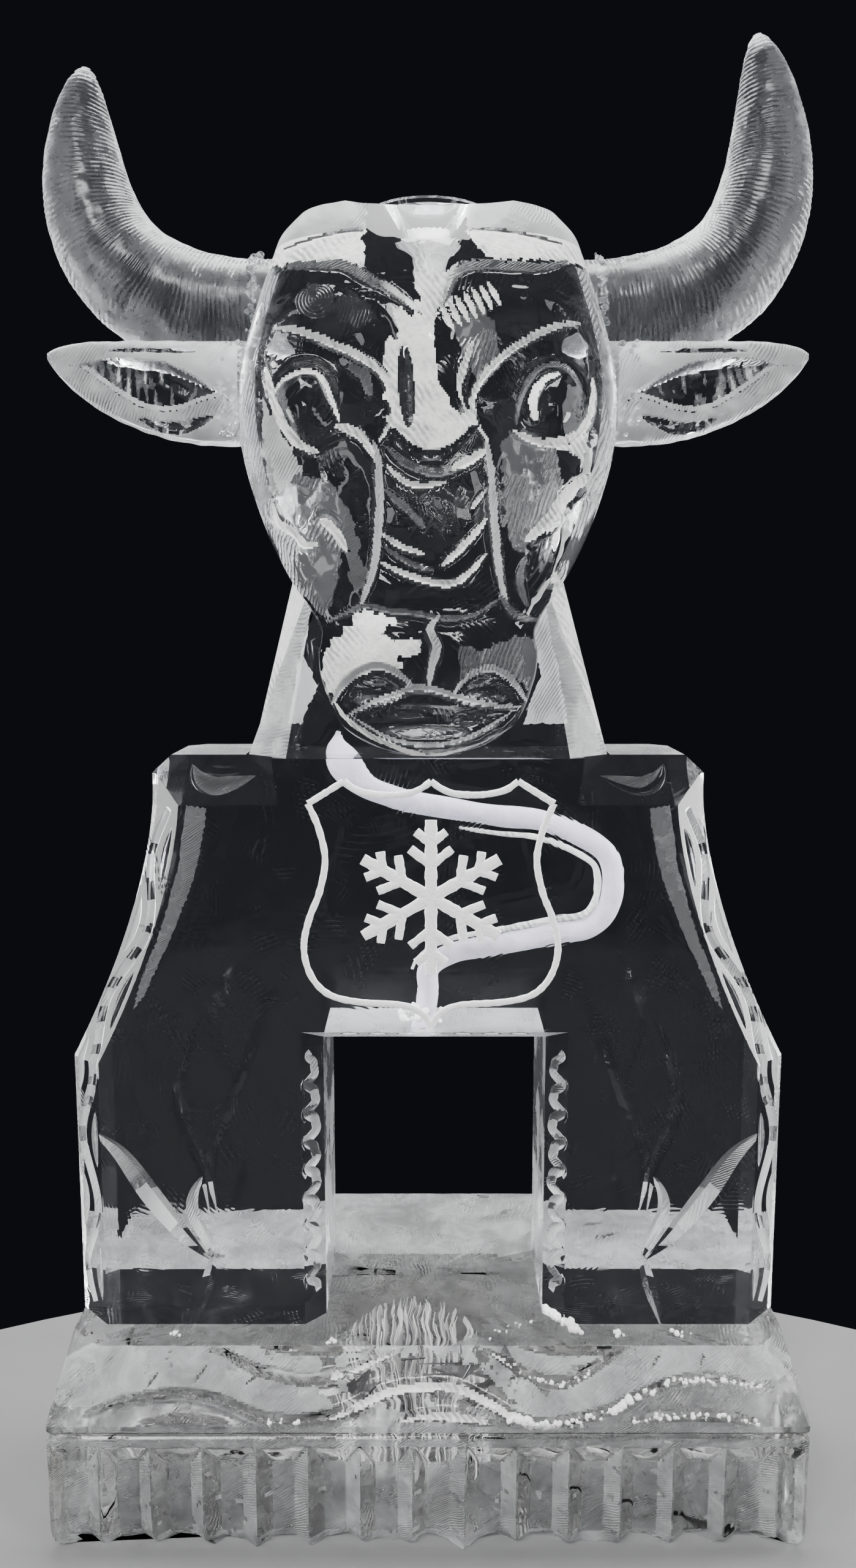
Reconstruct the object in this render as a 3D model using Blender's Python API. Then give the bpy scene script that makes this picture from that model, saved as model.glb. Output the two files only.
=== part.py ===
"""Bull's head of carved clear ice on a fluted ice plinth.

Metres, +Z up. The origin is on the floor under the middle of the plinth, and the head faces -Y.
Seven pieces of ice are frozen together: the plinth, the shoulder block with its arch, the head
with its neck, two horns and two ears.
"""
import math

import bmesh
import bpy
from mathutils import Vector

JOINT_GAP = 0.0003
OVERSHOOT = 0.02
CUT_RAISE = 0.004

# Plinth: a half-height block with a sloped top edge and fluted faces
PLINTH_WIDTH = 0.508
PLINTH_DEPTH = 0.254
PLINTH_HEIGHT = 0.127
SLOPE_FOOT = 0.092
SLOPE_RUN = 0.035
SIDE_SLOPE_RUN = 0.005
CORNER_FLAT = 0.024
GROOVE_HEIGHT = 0.0845
GROOVE_SIZE = 0.0045
FLUTE_PITCH = 0.0348
FLUTE_DEPTH = 0.007
FLUTE_TOP = 0.077
FLUTE_HIP = 0.015
FLUTE_FLOOR = 0.5
FLUTE_LAND = 0.0012
WAVE_LENGTH = 0.178
WAVE_CREST_X = 0.004
WAVE_RISE = 0.021
WAVE_MIDDLE = 0.017
WAVE_STEP = 0.019
WAVE_WIDTH = 0.0045
WAVE_DEPTH = 0.004
WAVE_POINTS = 10

# Shoulder block: a thick slab stood on the plinth, with an arch through it
SHOULDER_FRONT = -0.067
SHOULDER_THICKNESS = 0.102
SHOULDER_TOP = 0.530
SHOULDER_BREAK = 0.318
SHOULDER_TOP_WIDTH = 0.376
SHOULDER_CORNER = 0.012
FLANK_CURVE = 1.6
FLANK_STEPS = 7
EDGE_CHAMFER = 0.022
REAR_CHAMFER = 0.012
TOP_CHAMFER = 0.031
ARCH_WIDTH = 0.155
ARCH_SHIFT = 0.0045
ARCH_TOP = 0.334
JAMB_CHAMFER = 0.014
LINTEL_CHAMFER = 0.008
NOTCH_PITCH = 0.0195
NOTCH_RADIUS = 0.009
NOTCH_DEPTH = 0.004
NOTCH_START = 0.150
NOTCH_LENGTH = 0.0187
BLADE_MEETING_X = 0.155
BLADE_MEETING_Z = 0.200
BLADE_WIDTH = 0.0085
BLADE_DEPTH = 0.006
RIBBON_WIDTH = 0.0042
RIBBON_DEPTH = 0.005
RIBBON_PITCH = 0.100
RIBBON_SWING = 0.0045
RIBBON_POINTS = 8
LEAF_LENGTH = 0.036
LEAF_WIDTH = 0.0045
LEAF_SLIDE = 0.006
NECK_NICK = 0.026
NECK_NICK_WIDTH = 0.015
NECK_NICK_DEPTH = 0.008
SHIELD_WIDTH = 0.164
SHIELD_TOP = 0.508
SHIELD_BEND = 0.425
SHIELD_POINT = 0.353
SHIELD_LINE = 0.0022
SHIELD_DEPTH = 0.003
SHIELD_ARC_STEPS = 6

# Neck and head, carved from one block
HEAD_HEIGHT = 0.355
HEAD_WIDTH = 0.256
HEAD_REACH = 0.127
HEAD_BACK = 0.078
NECK_FRONT = -0.062
NECK_BACK = 0.033
NECK_WIDTH = 0.246
NECK_RISE = 0.210
BOWL_RADIUS = 0.035
BOWL_FLOOR_RADIUS = 0.020
BOWL_DEPTH = 0.030
COLLAR_WALL = 0.006
COLLAR_RISE = 0.004
BOWL_Y = -0.006
BOWL_SIDES = 24
FRONT_SEGMENTS = 32
BACK_SEGMENTS = 9
HEAD_RINGS = 34
SMOOTH_ANGLE = math.radians(32)
FACE_CUT_RAISE = 0.09 * HEAD_REACH

# Horns
HORN_ROOT_X = 0.095
HORN_ROOT_Z = 0.827
HORN_ROOT_DIAMETER = 0.078
HORN_TIP_DIAMETER = 0.006
HORN_TAPER = 3.5
HORN_LEAVE = 0.094
HORN_LEFT_BULGE_X = 0.252
HORN_RIGHT_BULGE_X = 0.260
HORN_BULGE = 0.84
HORN_LEFT_TIP_X = 0.231
HORN_LEFT_TIP_Z = 0.990
HORN_RIGHT_TIP_X = 0.2215
HORN_RIGHT_TIP_Z = 1.011
HORN_Y = 0.012
HORN_STATIONS = 15
HORN_SIDES = 14

# Ears
EAR_TIP_X = 0.253
EAR_ROOT_X = 0.108
EAR_TIP_Z = 0.794
EAR_TOP_Z = 0.8055
EAR_BOTTOM_Z = 0.737
EAR_FRONT = -0.038
EAR_THICKNESS = 0.034
EAR_HOLLOW = 0.014
EAR_STATIONS = 11
TIP_CROWDING = 1.45

HEAD_BASE = SHOULDER_TOP + JOINT_GAP
SHOULDER_FOOT = PLINTH_HEIGHT + JOINT_GAP
SHOULDER_HALF = PLINTH_WIDTH / 2 - SIDE_SLOPE_RUN
SHOULDER_BACK = SHOULDER_FRONT + SHOULDER_THICKNESS
FLANK_TOP = SHOULDER_TOP - 2 * SHOULDER_CORNER
FRONTWARD = Vector((0, -1, 0))


def clear_scene():
    for item in list(bpy.data.objects):
        bpy.data.objects.remove(item, do_unlink=True)
    for item in list(bpy.data.collections):
        bpy.data.collections.remove(item)


def new_collection(name):
    group = bpy.data.collections.new(name)
    bpy.context.scene.collection.children.link(group)
    return group


def ice_material(name, colour, roughness):
    material = bpy.data.materials.new(name)
    material.use_nodes = True
    shader = material.node_tree.nodes["Principled BSDF"]
    shader.inputs["Base Color"].default_value = (*colour, 1)
    shader.inputs["Roughness"].default_value = roughness
    shader.inputs["Metallic"].default_value = 0
    shader.inputs["IOR"].default_value = 1.31
    material.diffuse_color = (*colour, 1)
    return material


def object_from(bm, name, group):
    bmesh.ops.recalc_face_normals(bm, faces=bm.faces)
    mesh = bpy.data.meshes.new(name)
    bm.to_mesh(mesh)
    bm.free()
    item = bpy.data.objects.new(name, mesh)
    group.objects.link(item)
    return item


def shade_round(item):
    item.data.shade_smooth()
    item.data.set_sharp_from_angle(angle=SMOOTH_ANGLE)
    return item


def as_cutter(item):
    item.hide_render = True
    item.display_type = "WIRE"
    return item


def box(bm, low, high):
    size = Vector(high) - Vector(low)
    middle = (Vector(high) + Vector(low)) / 2
    verts = bmesh.ops.create_cube(bm, size=1)["verts"]
    bmesh.ops.scale(bm, vec=size, verts=verts)
    bmesh.ops.translate(bm, vec=middle, verts=verts)
    return verts


def saw(bm, point, normal):
    """Cut off everything beyond a plane and close the cut."""
    geometry = bm.verts[:] + bm.edges[:] + bm.faces[:]
    cut = bmesh.ops.bisect_plane(bm, geom=geometry, plane_co=point, plane_no=normal, clear_outer=True)
    edges = [item for item in cut["geom_cut"] if isinstance(item, bmesh.types.BMEdge)]
    bmesh.ops.edgenet_fill(bm, edges=edges)


def loft(bm, rings, closed_ends=True):
    """Skin a row of rings with equal numbers of points."""
    rows = [[bm.verts.new(point) for point in ring] for ring in rings]
    count = len(rows[0])
    for row, following in zip(rows, rows[1:]):
        for i in range(count):
            j = (i + 1) % count
            bm.faces.new((row[i], row[j], following[j], following[i]))
    if closed_ends:
        bm.faces.new(rows[0])
        bm.faces.new(rows[-1])


def gouge(path, outward, width, depth, name, group, closed=False, lift=CUT_RAISE, fullness=1):
    """V-shaped cut along a path, a width to each side, running out to nothing at open ends."""
    path = [Vector(point) for point in path]
    last = len(path) - 1
    bm = bmesh.new()
    rows = []
    for i, point in enumerate(path):
        if i in (0, last) and not closed:
            rows.append([bm.verts.new(point + outward * lift)])
            continue
        run = path[(i + 1) % len(path)] - path[i - 1]
        side = outward.cross(run).normalized()
        share = 1 if closed else min(1, fullness * math.sin(math.pi * i / last)) ** 0.6
        spread = width * (share + lift / depth)
        rows.append([
            bm.verts.new(point + side * spread + outward * lift),
            bm.verts.new(point - outward * depth * share),
            bm.verts.new(point - side * spread + outward * lift),
        ])
    following_rows = rows[1:] + rows[:1] if closed else rows[1:]
    for row, following in zip(rows, following_rows):
        if len(row) == 1:
            row, following = following, row
        for i in range(3):
            j = (i + 1) % 3
            if len(following) == 1:
                bm.faces.new((row[i], row[j], following[0]))
            else:
                bm.faces.new((row[i], row[j], following[j], following[i]))
    return as_cutter(object_from(bm, name, group))


def cut(item, group):
    modifier = item.modifiers.new("Carving", "BOOLEAN")
    modifier.operation = "DIFFERENCE"
    modifier.operand_type = "COLLECTION"
    modifier.collection = group
    modifier.solver = "EXACT"


def cut_by(item, other):
    modifier = item.modifiers.new("Seat on " + other.name, "BOOLEAN")
    modifier.operation = "DIFFERENCE"
    modifier.object = other
    modifier.solver = "EXACT"


def join_with(item, other):
    modifier = item.modifiers.new("Join " + other.name, "BOOLEAN")
    modifier.operation = "UNION"
    modifier.object = other
    modifier.solver = "EXACT"


def read_curve(keys, at):
    """Smooth curve through (position, value) keys."""
    last = len(keys) - 1
    at = min(max(at, keys[0][0]), keys[last][0])
    i = max(k for k in range(last) if keys[k][0] <= at)
    slopes = []
    for k in (i, i + 1):
        before, after = keys[max(k - 1, 0)], keys[min(k + 1, last)]
        slopes.append((after[1] - before[1]) / (after[0] - before[0]))
    span = keys[i + 1][0] - keys[i][0]
    t = (at - keys[i][0]) / span
    start = keys[i][1] * (1 + 2 * t) * (1 - t) ** 2 + keys[i + 1][1] * t * t * (3 - 2 * t)
    return start + span * (slopes[0] * t * (1 - t) ** 2 - slopes[1] * t * t * (1 - t))


# Plinth

def flute(bm, along, outward, start, pitch):
    """Hipped channel: a block whose inner face is narrower and lower than its mouth."""
    mouth = (start + FLUTE_LAND / 2, start + pitch - FLUTE_LAND / 2)
    spare = (1 - FLUTE_FLOOR) / 2 * pitch
    floor = (start + spare, start + pitch - spare)
    low = -OVERSHOOT
    face = outward.copy()
    reach = abs(face.x) * PLINTH_WIDTH / 2 + abs(face.y) * PLINTH_DEPTH / 2
    rings = []
    for sides, top, inset in ((mouth, FLUTE_TOP, 0), (floor, FLUTE_TOP - FLUTE_HIP, FLUTE_DEPTH)):
        corners = ((sides[0], low), (sides[1], low), (sides[1], top), (sides[0], top))
        depth = reach - inset
        rings.append([along * place + face * depth + Vector((0, 0, z)) for place, z in corners])
    lip = [point + face * CUT_RAISE for point in rings[0]]
    loft(bm, [lip] + rings)


def flute_row(name, along, outward, length, group):
    count = math.ceil(length / FLUTE_PITCH)
    for i in range(count):
        start = -length / 2 + i * FLUTE_PITCH
        pitch = min(FLUTE_PITCH, length / 2 - start)
        if pitch < FLUTE_PITCH / 3:
            continue
        bm = bmesh.new()
        flute(bm, along, outward, start, pitch)
        as_cutter(object_from(bm, f"{name} flute {i + 1}", group))


def groove_cutters(group):
    """Four square bars, turned on edge, cut the V groove under the plain band."""
    half = GROOVE_SIZE * math.sqrt(0.5)
    for axis, reach, length in ((1, PLINTH_DEPTH / 2, PLINTH_WIDTH), (0, PLINTH_WIDTH / 2, PLINTH_DEPTH)):
        for side in (-1, 1):
            rings = []
            for end in (-1, 1):
                along = end * (length / 2 + OVERSHOOT)
                ring = []
                for turn in range(4):
                    angle = turn * math.pi / 2
                    across = side * reach + half * math.cos(angle)
                    z = GROOVE_HEIGHT + half * math.sin(angle)
                    ring.append((along, across, z) if axis == 1 else (across, along, z))
                rings.append(ring)
            bm = bmesh.new()
            loft(bm, rings)
            as_cutter(object_from(bm, f"Groove {axis} {side}", group))


def wave_cutters(group):
    """Three rows of one wave line on the front slope, each row a step above the last."""
    rise = PLINTH_HEIGHT - SLOPE_FOOT
    slope_length = math.hypot(rise, SLOPE_RUN)
    up = Vector((0, SLOPE_RUN, rise)).normalized()
    outward = Vector((0, -rise, SLOPE_RUN)).normalized()
    foot = Vector((0, -PLINTH_DEPTH / 2, SLOPE_FOOT))
    margin = WAVE_WIDTH
    reach = PLINTH_WIDTH / 2 - CORNER_FLAT
    steps = round(2 * reach / WAVE_LENGTH * WAVE_POINTS)
    for row in (-1, 0, 1):
        runs = [[]]
        for i in range(steps + 1):
            x = -reach + 2 * reach * i / steps
            turn = 2 * math.pi * (x - WAVE_CREST_X) / WAVE_LENGTH
            climb = WAVE_MIDDLE + WAVE_RISE / 2 * math.cos(turn) + row * WAVE_STEP
            if margin < climb < slope_length - margin:
                runs[-1].append(foot + up * climb + Vector((x, 0, 0)))
            elif runs[-1]:
                runs.append([])
        for i, run in enumerate(run for run in runs if len(run) > 3):
            gouge(run, outward, WAVE_WIDTH, WAVE_DEPTH, f"Wave {row + 2} {i + 1}", group, fullness=3)


def make_plinth(parts, cuts, material):
    bm = bmesh.new()
    half = Vector((PLINTH_WIDTH / 2, PLINTH_DEPTH / 2, 0))
    box(bm, -half, half + Vector((0, 0, PLINTH_HEIGHT)))
    rise = PLINTH_HEIGHT - SLOPE_FOOT
    saw(bm, Vector((0, -half.y, SLOPE_FOOT)), Vector((0, -rise, SLOPE_RUN)))
    for side in (-1, 1):
        saw(bm, Vector((side * half.x, 0, SLOPE_FOOT)), Vector((side * rise, 0, SIDE_SLOPE_RUN)))
        corner = Vector((side * half.x, -half.y, SLOPE_FOOT))
        saw(bm, corner, Vector((side * rise, -rise, CORNER_FLAT + SLOPE_RUN)))
    plinth = object_from(bm, "plinth", parts)
    plinth.data.materials.append(material)
    flute_row("Front", Vector((1, 0, 0)), FRONTWARD, PLINTH_WIDTH, cuts)
    flute_row("Back", Vector((1, 0, 0)), -FRONTWARD, PLINTH_WIDTH, cuts)
    flute_row("Left", Vector((0, 1, 0)), Vector((-1, 0, 0)), PLINTH_DEPTH, cuts)
    flute_row("Right", Vector((0, 1, 0)), Vector((1, 0, 0)), PLINTH_DEPTH, cuts)
    groove_cutters(cuts)
    wave_cutters(cuts)
    cut(plinth, cuts)
    return plinth


# Shoulder block

def flank_half(z):
    """Half the block's width at a height: upright legs, then a hollow curve up to the neck."""
    if z <= SHOULDER_BREAK:
        return SHOULDER_HALF
    share = min(1, (z - SHOULDER_BREAK) / (FLANK_TOP - SHOULDER_BREAK))
    top = SHOULDER_TOP_WIDTH / 2
    return top + (SHOULDER_HALF - top) * (1 - share) ** FLANK_CURVE


def shoulder_ring(y, inset):
    """The block's outline without its arch, drawn in along both flanks."""
    right = [(SHOULDER_HALF - inset, y, SHOULDER_FOOT)]
    for i in range(FLANK_STEPS + 1):
        z = SHOULDER_BREAK + (FLANK_TOP - SHOULDER_BREAK) * i / FLANK_STEPS
        right.append((flank_half(z) - inset, y, z))
    top = SHOULDER_TOP_WIDTH / 2 - inset
    right.append((top, y, SHOULDER_TOP - SHOULDER_CORNER))
    right.append((top - SHOULDER_CORNER, y, SHOULDER_TOP))
    return right + [(-x, y, z) for x, y, z in reversed(right)]


def shoulder_slab(name, group):
    """Thick slab whose upright arrises are cut back, more at the front than at the rear."""
    bm = bmesh.new()
    loft(bm, [
        shoulder_ring(SHOULDER_FRONT, EDGE_CHAMFER),
        shoulder_ring(SHOULDER_FRONT + EDGE_CHAMFER, 0),
        shoulder_ring(SHOULDER_BACK - REAR_CHAMFER, 0),
        shoulder_ring(SHOULDER_BACK, REAR_CHAMFER),
    ])
    return object_from(bm, name, group)


def top_chamfer_cutters(group):
    """Slopes along the front of the block's top on both sides of the neck."""
    inner = NECK_WIDTH / 2 - TOP_CHAMFER / 2
    outer = SHOULDER_HALF + OVERSHOOT
    front = SHOULDER_FRONT - OVERSHOOT
    for side in (-1, 1):
        rings = []
        for x, lean in ((inner, TOP_CHAMFER / 3), (outer, 0)):
            rings.append([
                (side * (x - lean), front, SHOULDER_TOP - TOP_CHAMFER - OVERSHOOT),
                (side * x, SHOULDER_FRONT + TOP_CHAMFER + OVERSHOOT, SHOULDER_TOP + OVERSHOOT),
                (side * x, front, SHOULDER_TOP + OVERSHOOT),
            ])
        bm = bmesh.new()
        loft(bm, rings)
        as_cutter(object_from(bm, f"Top chamfer {side}", group))


def arch_cutter(group):
    """A square tunnel that widens at its front arrises."""
    rings = []
    low = SHOULDER_FOOT - OVERSHOOT
    for y in (SHOULDER_FRONT - OVERSHOOT, SHOULDER_FRONT + JAMB_CHAMFER, SHOULDER_BACK + OVERSHOOT):
        widen = max(0, SHOULDER_FRONT + JAMB_CHAMFER - y)
        top = ARCH_TOP + widen * LINTEL_CHAMFER / JAMB_CHAMFER
        half = ARCH_WIDTH / 2 + widen
        corners = ((-half, low), (half, low), (half, top), (-half, top))
        rings.append([(ARCH_SHIFT + x, y, z) for x, z in corners])
    bm = bmesh.new()
    loft(bm, rings)
    as_cutter(object_from(bm, "Arch", group))


def scoop(group, name, centre, size):
    """Rounded nick, left by one touch of a burr."""
    bm = bmesh.new()
    bmesh.ops.create_uvsphere(bm, u_segments=6, v_segments=4, radius=1)
    bmesh.ops.scale(bm, vec=size, verts=bm.verts)
    bmesh.ops.translate(bm, vec=centre, verts=bm.verts)
    as_cutter(object_from(bm, name, group))


def arch_notches(group):
    """Columns of nicks down both jambs and a row along the lintel."""
    reach = NOTCH_LENGTH / 2
    back = (NOTCH_RADIUS - NOTCH_DEPTH) * math.sqrt(0.5)
    count = int((ARCH_TOP - NOTCH_START) / NOTCH_PITCH)
    for side in (-1, 1):
        x = ARCH_SHIFT + side * (ARCH_WIDTH / 2 + JAMB_CHAMFER / 2 - back)
        y = SHOULDER_FRONT + JAMB_CHAMFER / 2 - back
        for i in range(count):
            centre = (x, y, NOTCH_START + i * NOTCH_PITCH)
            scoop(group, f"Jamb notch {side} {i + 1}", centre, (NOTCH_RADIUS, NOTCH_RADIUS, reach))
    across = int(ARCH_WIDTH / NOTCH_PITCH)
    small = NOTCH_RADIUS * LINTEL_CHAMFER / JAMB_CHAMFER
    for i in range(across):
        x = ARCH_SHIFT + (i - (across - 1) / 2) * NOTCH_PITCH
        centre = (x, SHOULDER_FRONT + JAMB_CHAMFER / 4, ARCH_TOP + LINTEL_CHAMFER / 2)
        scoop(group, f"Lintel notch {i + 1}", centre, (reach, small, small))


def blade_cutters(group):
    """Three long blades meeting at a stem, on both legs."""
    front = SHOULDER_FRONT
    blades = (
        ((-0.002, 0.157), (0.010, 0.128), (0.017, 0.098), (0.011, 0.068), (0.002, 0.044), (-0.003, 0.008)),
        ((-0.036, 0.132), (-0.020, 0.095), (-0.004, 0.052), (-0.008, 0.010)),
        ((0.074, 0.076), (0.050, 0.061), (0.022, 0.032), (-0.003, -0.004)),
        ((-0.009, -0.006), (0.000, -0.034), (0.010, -0.066)),
    )
    for side in (-1, 1):
        for i, blade in enumerate(blades):
            path = [
                (side * (BLADE_MEETING_X + x), front, BLADE_MEETING_Z + z) for x, z in resample(blade, 7)
            ]
            name = f"Blade {side} {i + 1}"
            gouge(path, FRONTWARD, BLADE_WIDTH / 2, BLADE_DEPTH, name, group)


def resample(points, count):
    """Even steps along a smooth line through a few points."""
    lines = [[(i, point[axis]) for i, point in enumerate(points)] for axis in (0, 1)]
    steps = [(len(points) - 1) * i / (count - 1) for i in range(count)]
    return [tuple(read_curve(line, step) for line in lines) for step in steps]


def flank_point(side, z, slide):
    """Point on a flank's front chamfer, slid outward from the middle of it."""
    x = flank_half(z) - EDGE_CHAMFER / 2 + slide
    return side * x, SHOULDER_FRONT + EDGE_CHAMFER / 2 + slide, z


def ribbon_cutters(group):
    """A ribbon winds down each chamfered flank, with a leaf in every bend."""
    low = SHOULDER_FOOT + EDGE_CHAMFER / 2
    rise = FLANK_TOP - EDGE_CHAMFER / 2 - low
    steps = round(rise / RIBBON_PITCH * RIBBON_POINTS)
    bends = int(2 * rise / RIBBON_PITCH)
    for side in (-1, 1):
        outward = Vector((side, -1, 0)).normalized()
        path = []
        for i in range(steps + 1):
            z = low + rise * i / steps
            swing = RIBBON_SWING * math.sin(2 * math.pi * (z - low) / RIBBON_PITCH)
            path.append(flank_point(side, z, swing))
        gouge(path, outward, RIBBON_WIDTH, RIBBON_DEPTH, f"Ribbon {side}", group, fullness=6)
        for i in range(bends):
            middle = low + (i + 0.5) * RIBBON_PITCH / 2
            slide = LEAF_SLIDE * (1 if i % 2 else -1)
            heights = [middle + LEAF_LENGTH * (step / 4 - 0.5) for step in range(5)]
            path = [flank_point(side, z, slide) for z in heights]
            gouge(path, outward, LEAF_WIDTH, RIBBON_DEPTH, f"Leaf {side} {i + 1}", group)


def neck_nick_cutters(group):
    """The neck's corner facets run on into the block's front as three-sided nicks."""
    for side in (-1, 1):
        x = side * (NECK_WIDTH / 2 - NECK_NICK_WIDTH)
        path = [(x, SHOULDER_FRONT, SHOULDER_TOP + NECK_NICK * (1 - step)) for step in range(3)]
        gouge(path, FRONTWARD, NECK_NICK_WIDTH, NECK_NICK_DEPTH, f"Neck nick {side}", group)


def shield_cutter(group):
    """V line round a plain shield, engraved on the block's front."""
    half = SHIELD_WIDTH / 2
    right = [(half, SHIELD_TOP), (half, SHIELD_BEND)]
    for i in range(1, SHIELD_ARC_STEPS):
        turn = i / SHIELD_ARC_STEPS * math.pi / 2
        drop = (SHIELD_BEND - SHIELD_POINT) * math.sin(turn)
        right.append((half * math.cos(turn) ** 0.8, SHIELD_BEND - drop))
    left = [(-x, z) for x, z in reversed(right)]
    path = [(x, SHOULDER_FRONT, z) for x, z in right + [(0, SHIELD_POINT)] + left]
    gouge(path, FRONTWARD, SHIELD_LINE, SHIELD_DEPTH, "Shield line", group, closed=True)


def make_shoulder_block(parts, cuts, material):
    block = shoulder_slab("shoulder_block", parts)
    block.data.materials.append(material)
    top_chamfer_cutters(cuts)
    arch_cutter(cuts)
    arch_notches(cuts)
    blade_cutters(cuts)
    ribbon_cutters(cuts)
    neck_nick_cutters(cuts)
    shield_cutter(cuts)
    cut(block, cuts)
    return block


# Head and neck. Heights are shares of HEAD_HEIGHT above the seam, widths are shares of half
# HEAD_WIDTH, fronts and sides are shares of HEAD_REACH in front of the origin plane, and backs are
# shares of HEAD_BACK behind it.
HEAD_HALF_WIDTH = (
    (0.015, 0.14), (0.031, 0.29), (0.070, 0.44), (0.146, 0.53), (0.189, 0.55), (0.242, 0.545),
    (0.335, 0.72), (0.425, 0.85), (0.53, 0.955), (0.62, 1.0), (0.70, 1.0), (0.777, 0.95),
    (0.862, 0.875), (0.93, 0.81), (0.965, 0.77), (1.0, 0.68),
)
HEAD_FRONT_LINE = (
    (0.015, 0.80), (0.05, 0.89), (0.10, 0.94), (0.17, 0.97), (0.25, 0.955), (0.32, 0.90), (0.45, 0.84),
    (0.65, 0.79), (0.76, 0.745), (0.86, 0.67), (0.93, 0.565), (1.0, 0.45),
)
HEAD_BACK_LINE = (
    (0.015, -0.55), (0.20, -0.25), (0.335, 0.20), (0.47, 0.62), (0.60, 0.92), (0.70, 1.0),
    (0.80, 0.96), (0.90, 0.78), (1.0, 0.42),
)
HEAD_SIDE_LINE = ((0.015, 0.63), (0.20, 0.614), (0.34, 0.315), (0.55, 0.094), (1.0, 0.031))


def swell(x, z, centre_x, centre_z, wide, tall):
    """Rounded bump of height 1 that dies out at its rim."""
    distance = ((x - centre_x) / wide) ** 2 + ((z - centre_z) / tall) ** 2
    return max(0, 1 - distance) ** 1.5


def face_relief(x, z):
    """How far the carved face stands out from the plain head, in shares of HEAD_REACH."""
    x = abs(x)
    relief = 0
    relief -= 0.16 * swell(x, z, 0.47, 0.70, 0.36, 0.125)
    relief += 0.15 * swell(x, z, 0.60, 0.640, 0.19, 0.085)
    relief += 0.05 * swell(x, z, 0.52, 0.79, 0.34, 0.045)
    relief += 0.045 * swell(x, z, 0.0, 0.50, 0.26, 0.20)
    relief -= 0.07 * swell(x, z, 0.46, 0.42, 0.20, 0.15)
    relief -= 0.05 * swell(x, z, 0.0, 0.275, 0.50, 0.040)
    relief += 0.05 * swell(x, z, 0.27, 0.20, 0.26, 0.075)
    relief -= 0.09 * swell(x, z, 0.27, 0.135, 0.16, 0.028)
    relief -= 0.10 * swell(x, z, 0.0, 0.080, 0.36, 0.032)
    relief += 0.04 * swell(x, z, 0.0, 0.040, 0.30, 0.030)
    return relief


def head_front(x, height, grow):
    """Distance of the face in front of the origin plane at a share of the half width and height."""
    half = read_curve(HEAD_HALF_WIDTH, height)
    side = HEAD_REACH * read_curve(HEAD_SIDE_LINE, height)
    reach = HEAD_REACH * read_curve(HEAD_FRONT_LINE, height) - side
    inside = max(0, 1 - min(1, abs(x) / half) ** 2.4)
    base = side + (reach + grow) * inside ** (1 / 2.4)
    return base + HEAD_REACH * face_relief(x, height) * min(1, inside * 3)


def head_ring(height, grow):
    half = read_curve(HEAD_HALF_WIDTH, height)
    side = -HEAD_REACH * read_curve(HEAD_SIDE_LINE, height)
    back = HEAD_BACK * read_curve(HEAD_BACK_LINE, height)
    z = HEAD_BASE + HEAD_HEIGHT * height
    outer = half * HEAD_WIDTH / 2 + grow
    ring = []
    for i in range(FRONT_SEGMENTS + 1):
        turn = -1 + 2 * i / FRONT_SEGMENTS
        across = 0.45 * turn + 0.55 * math.sin(turn * math.pi / 2)
        ring.append((across * outer, -head_front(across * half, height, grow), z))
    for i in range(1, BACK_SEGMENTS):
        turn = math.pi * i / BACK_SEGMENTS
        ring.append((outer * math.cos(turn), side + (back - side + grow) * math.sin(turn), z))
    return ring


# Sawn flats of the crown: a point and a direction each, in the same shares as the head
CROWN_FLATS = (
    ((0, 0.39, 1.0), (0, 0.78, 0.63)),
    ((0.547, 0.39, 1.0), (0.62, 0.45, 0.64)),
    ((-0.547, 0.39, 1.0), (-0.62, 0.45, 0.64)),
)


def head_solid(name, group, grow):
    """Plain head, with its carved face, as a skin over level rings, and a crown sawn flat."""
    low, high = HEAD_HALF_WIDTH[0][0], HEAD_HALF_WIDTH[-1][0]
    rings = []
    for i in range(HEAD_RINGS + 1):
        rings.append(head_ring(low + (high - low) * i / HEAD_RINGS, grow))
    bm = bmesh.new()
    loft(bm, rings)
    for (x, y, z), (across, ahead, up) in CROWN_FLATS:
        point = Vector((x * HEAD_WIDTH / 2, -y * HEAD_REACH, HEAD_BASE + z * HEAD_HEIGHT))
        saw(bm, point, Vector((across, -ahead, up)))
    bmesh.ops.triangulate(bm, faces=bm.faces)
    return shade_round(object_from(bm, name, group))


# Sections of the neck: share of its rise, and corners as shares of its half width and its depth
NECK_SECTIONS = (
    (0, ((0.77, 0), (1.0, 0.26), (1.0, 0.50), (1.0, 0.80), (0.76, 1.0))),
    (0.56, ((0.59, 0), (0.63, 0.22), (0.76, 0.50), (0.76, 0.905), (0.60, 1.17))),
    (1, ((0.50, 0.10), (0.55, 0.24), (0.68, 0.50), (0.68, 0.96), (0.50, 1.27))),
)


def neck_solid(group):
    """Sawn neck: few flat facets that narrow from the block's top into the head."""
    rings = []
    for share, corners in NECK_SECTIONS:
        z = HEAD_BASE + NECK_RISE * share
        right = []
        for x, deep in corners:
            right.append((x * NECK_WIDTH / 2, NECK_FRONT + (NECK_BACK - NECK_FRONT) * deep, z))
        left = [(-x, y, z) for x, y, z in reversed(right)]
        rings.append(right + left)
    bm = bmesh.new()
    loft(bm, rings)
    return as_cutter(object_from(bm, "Neck", group))


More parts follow.
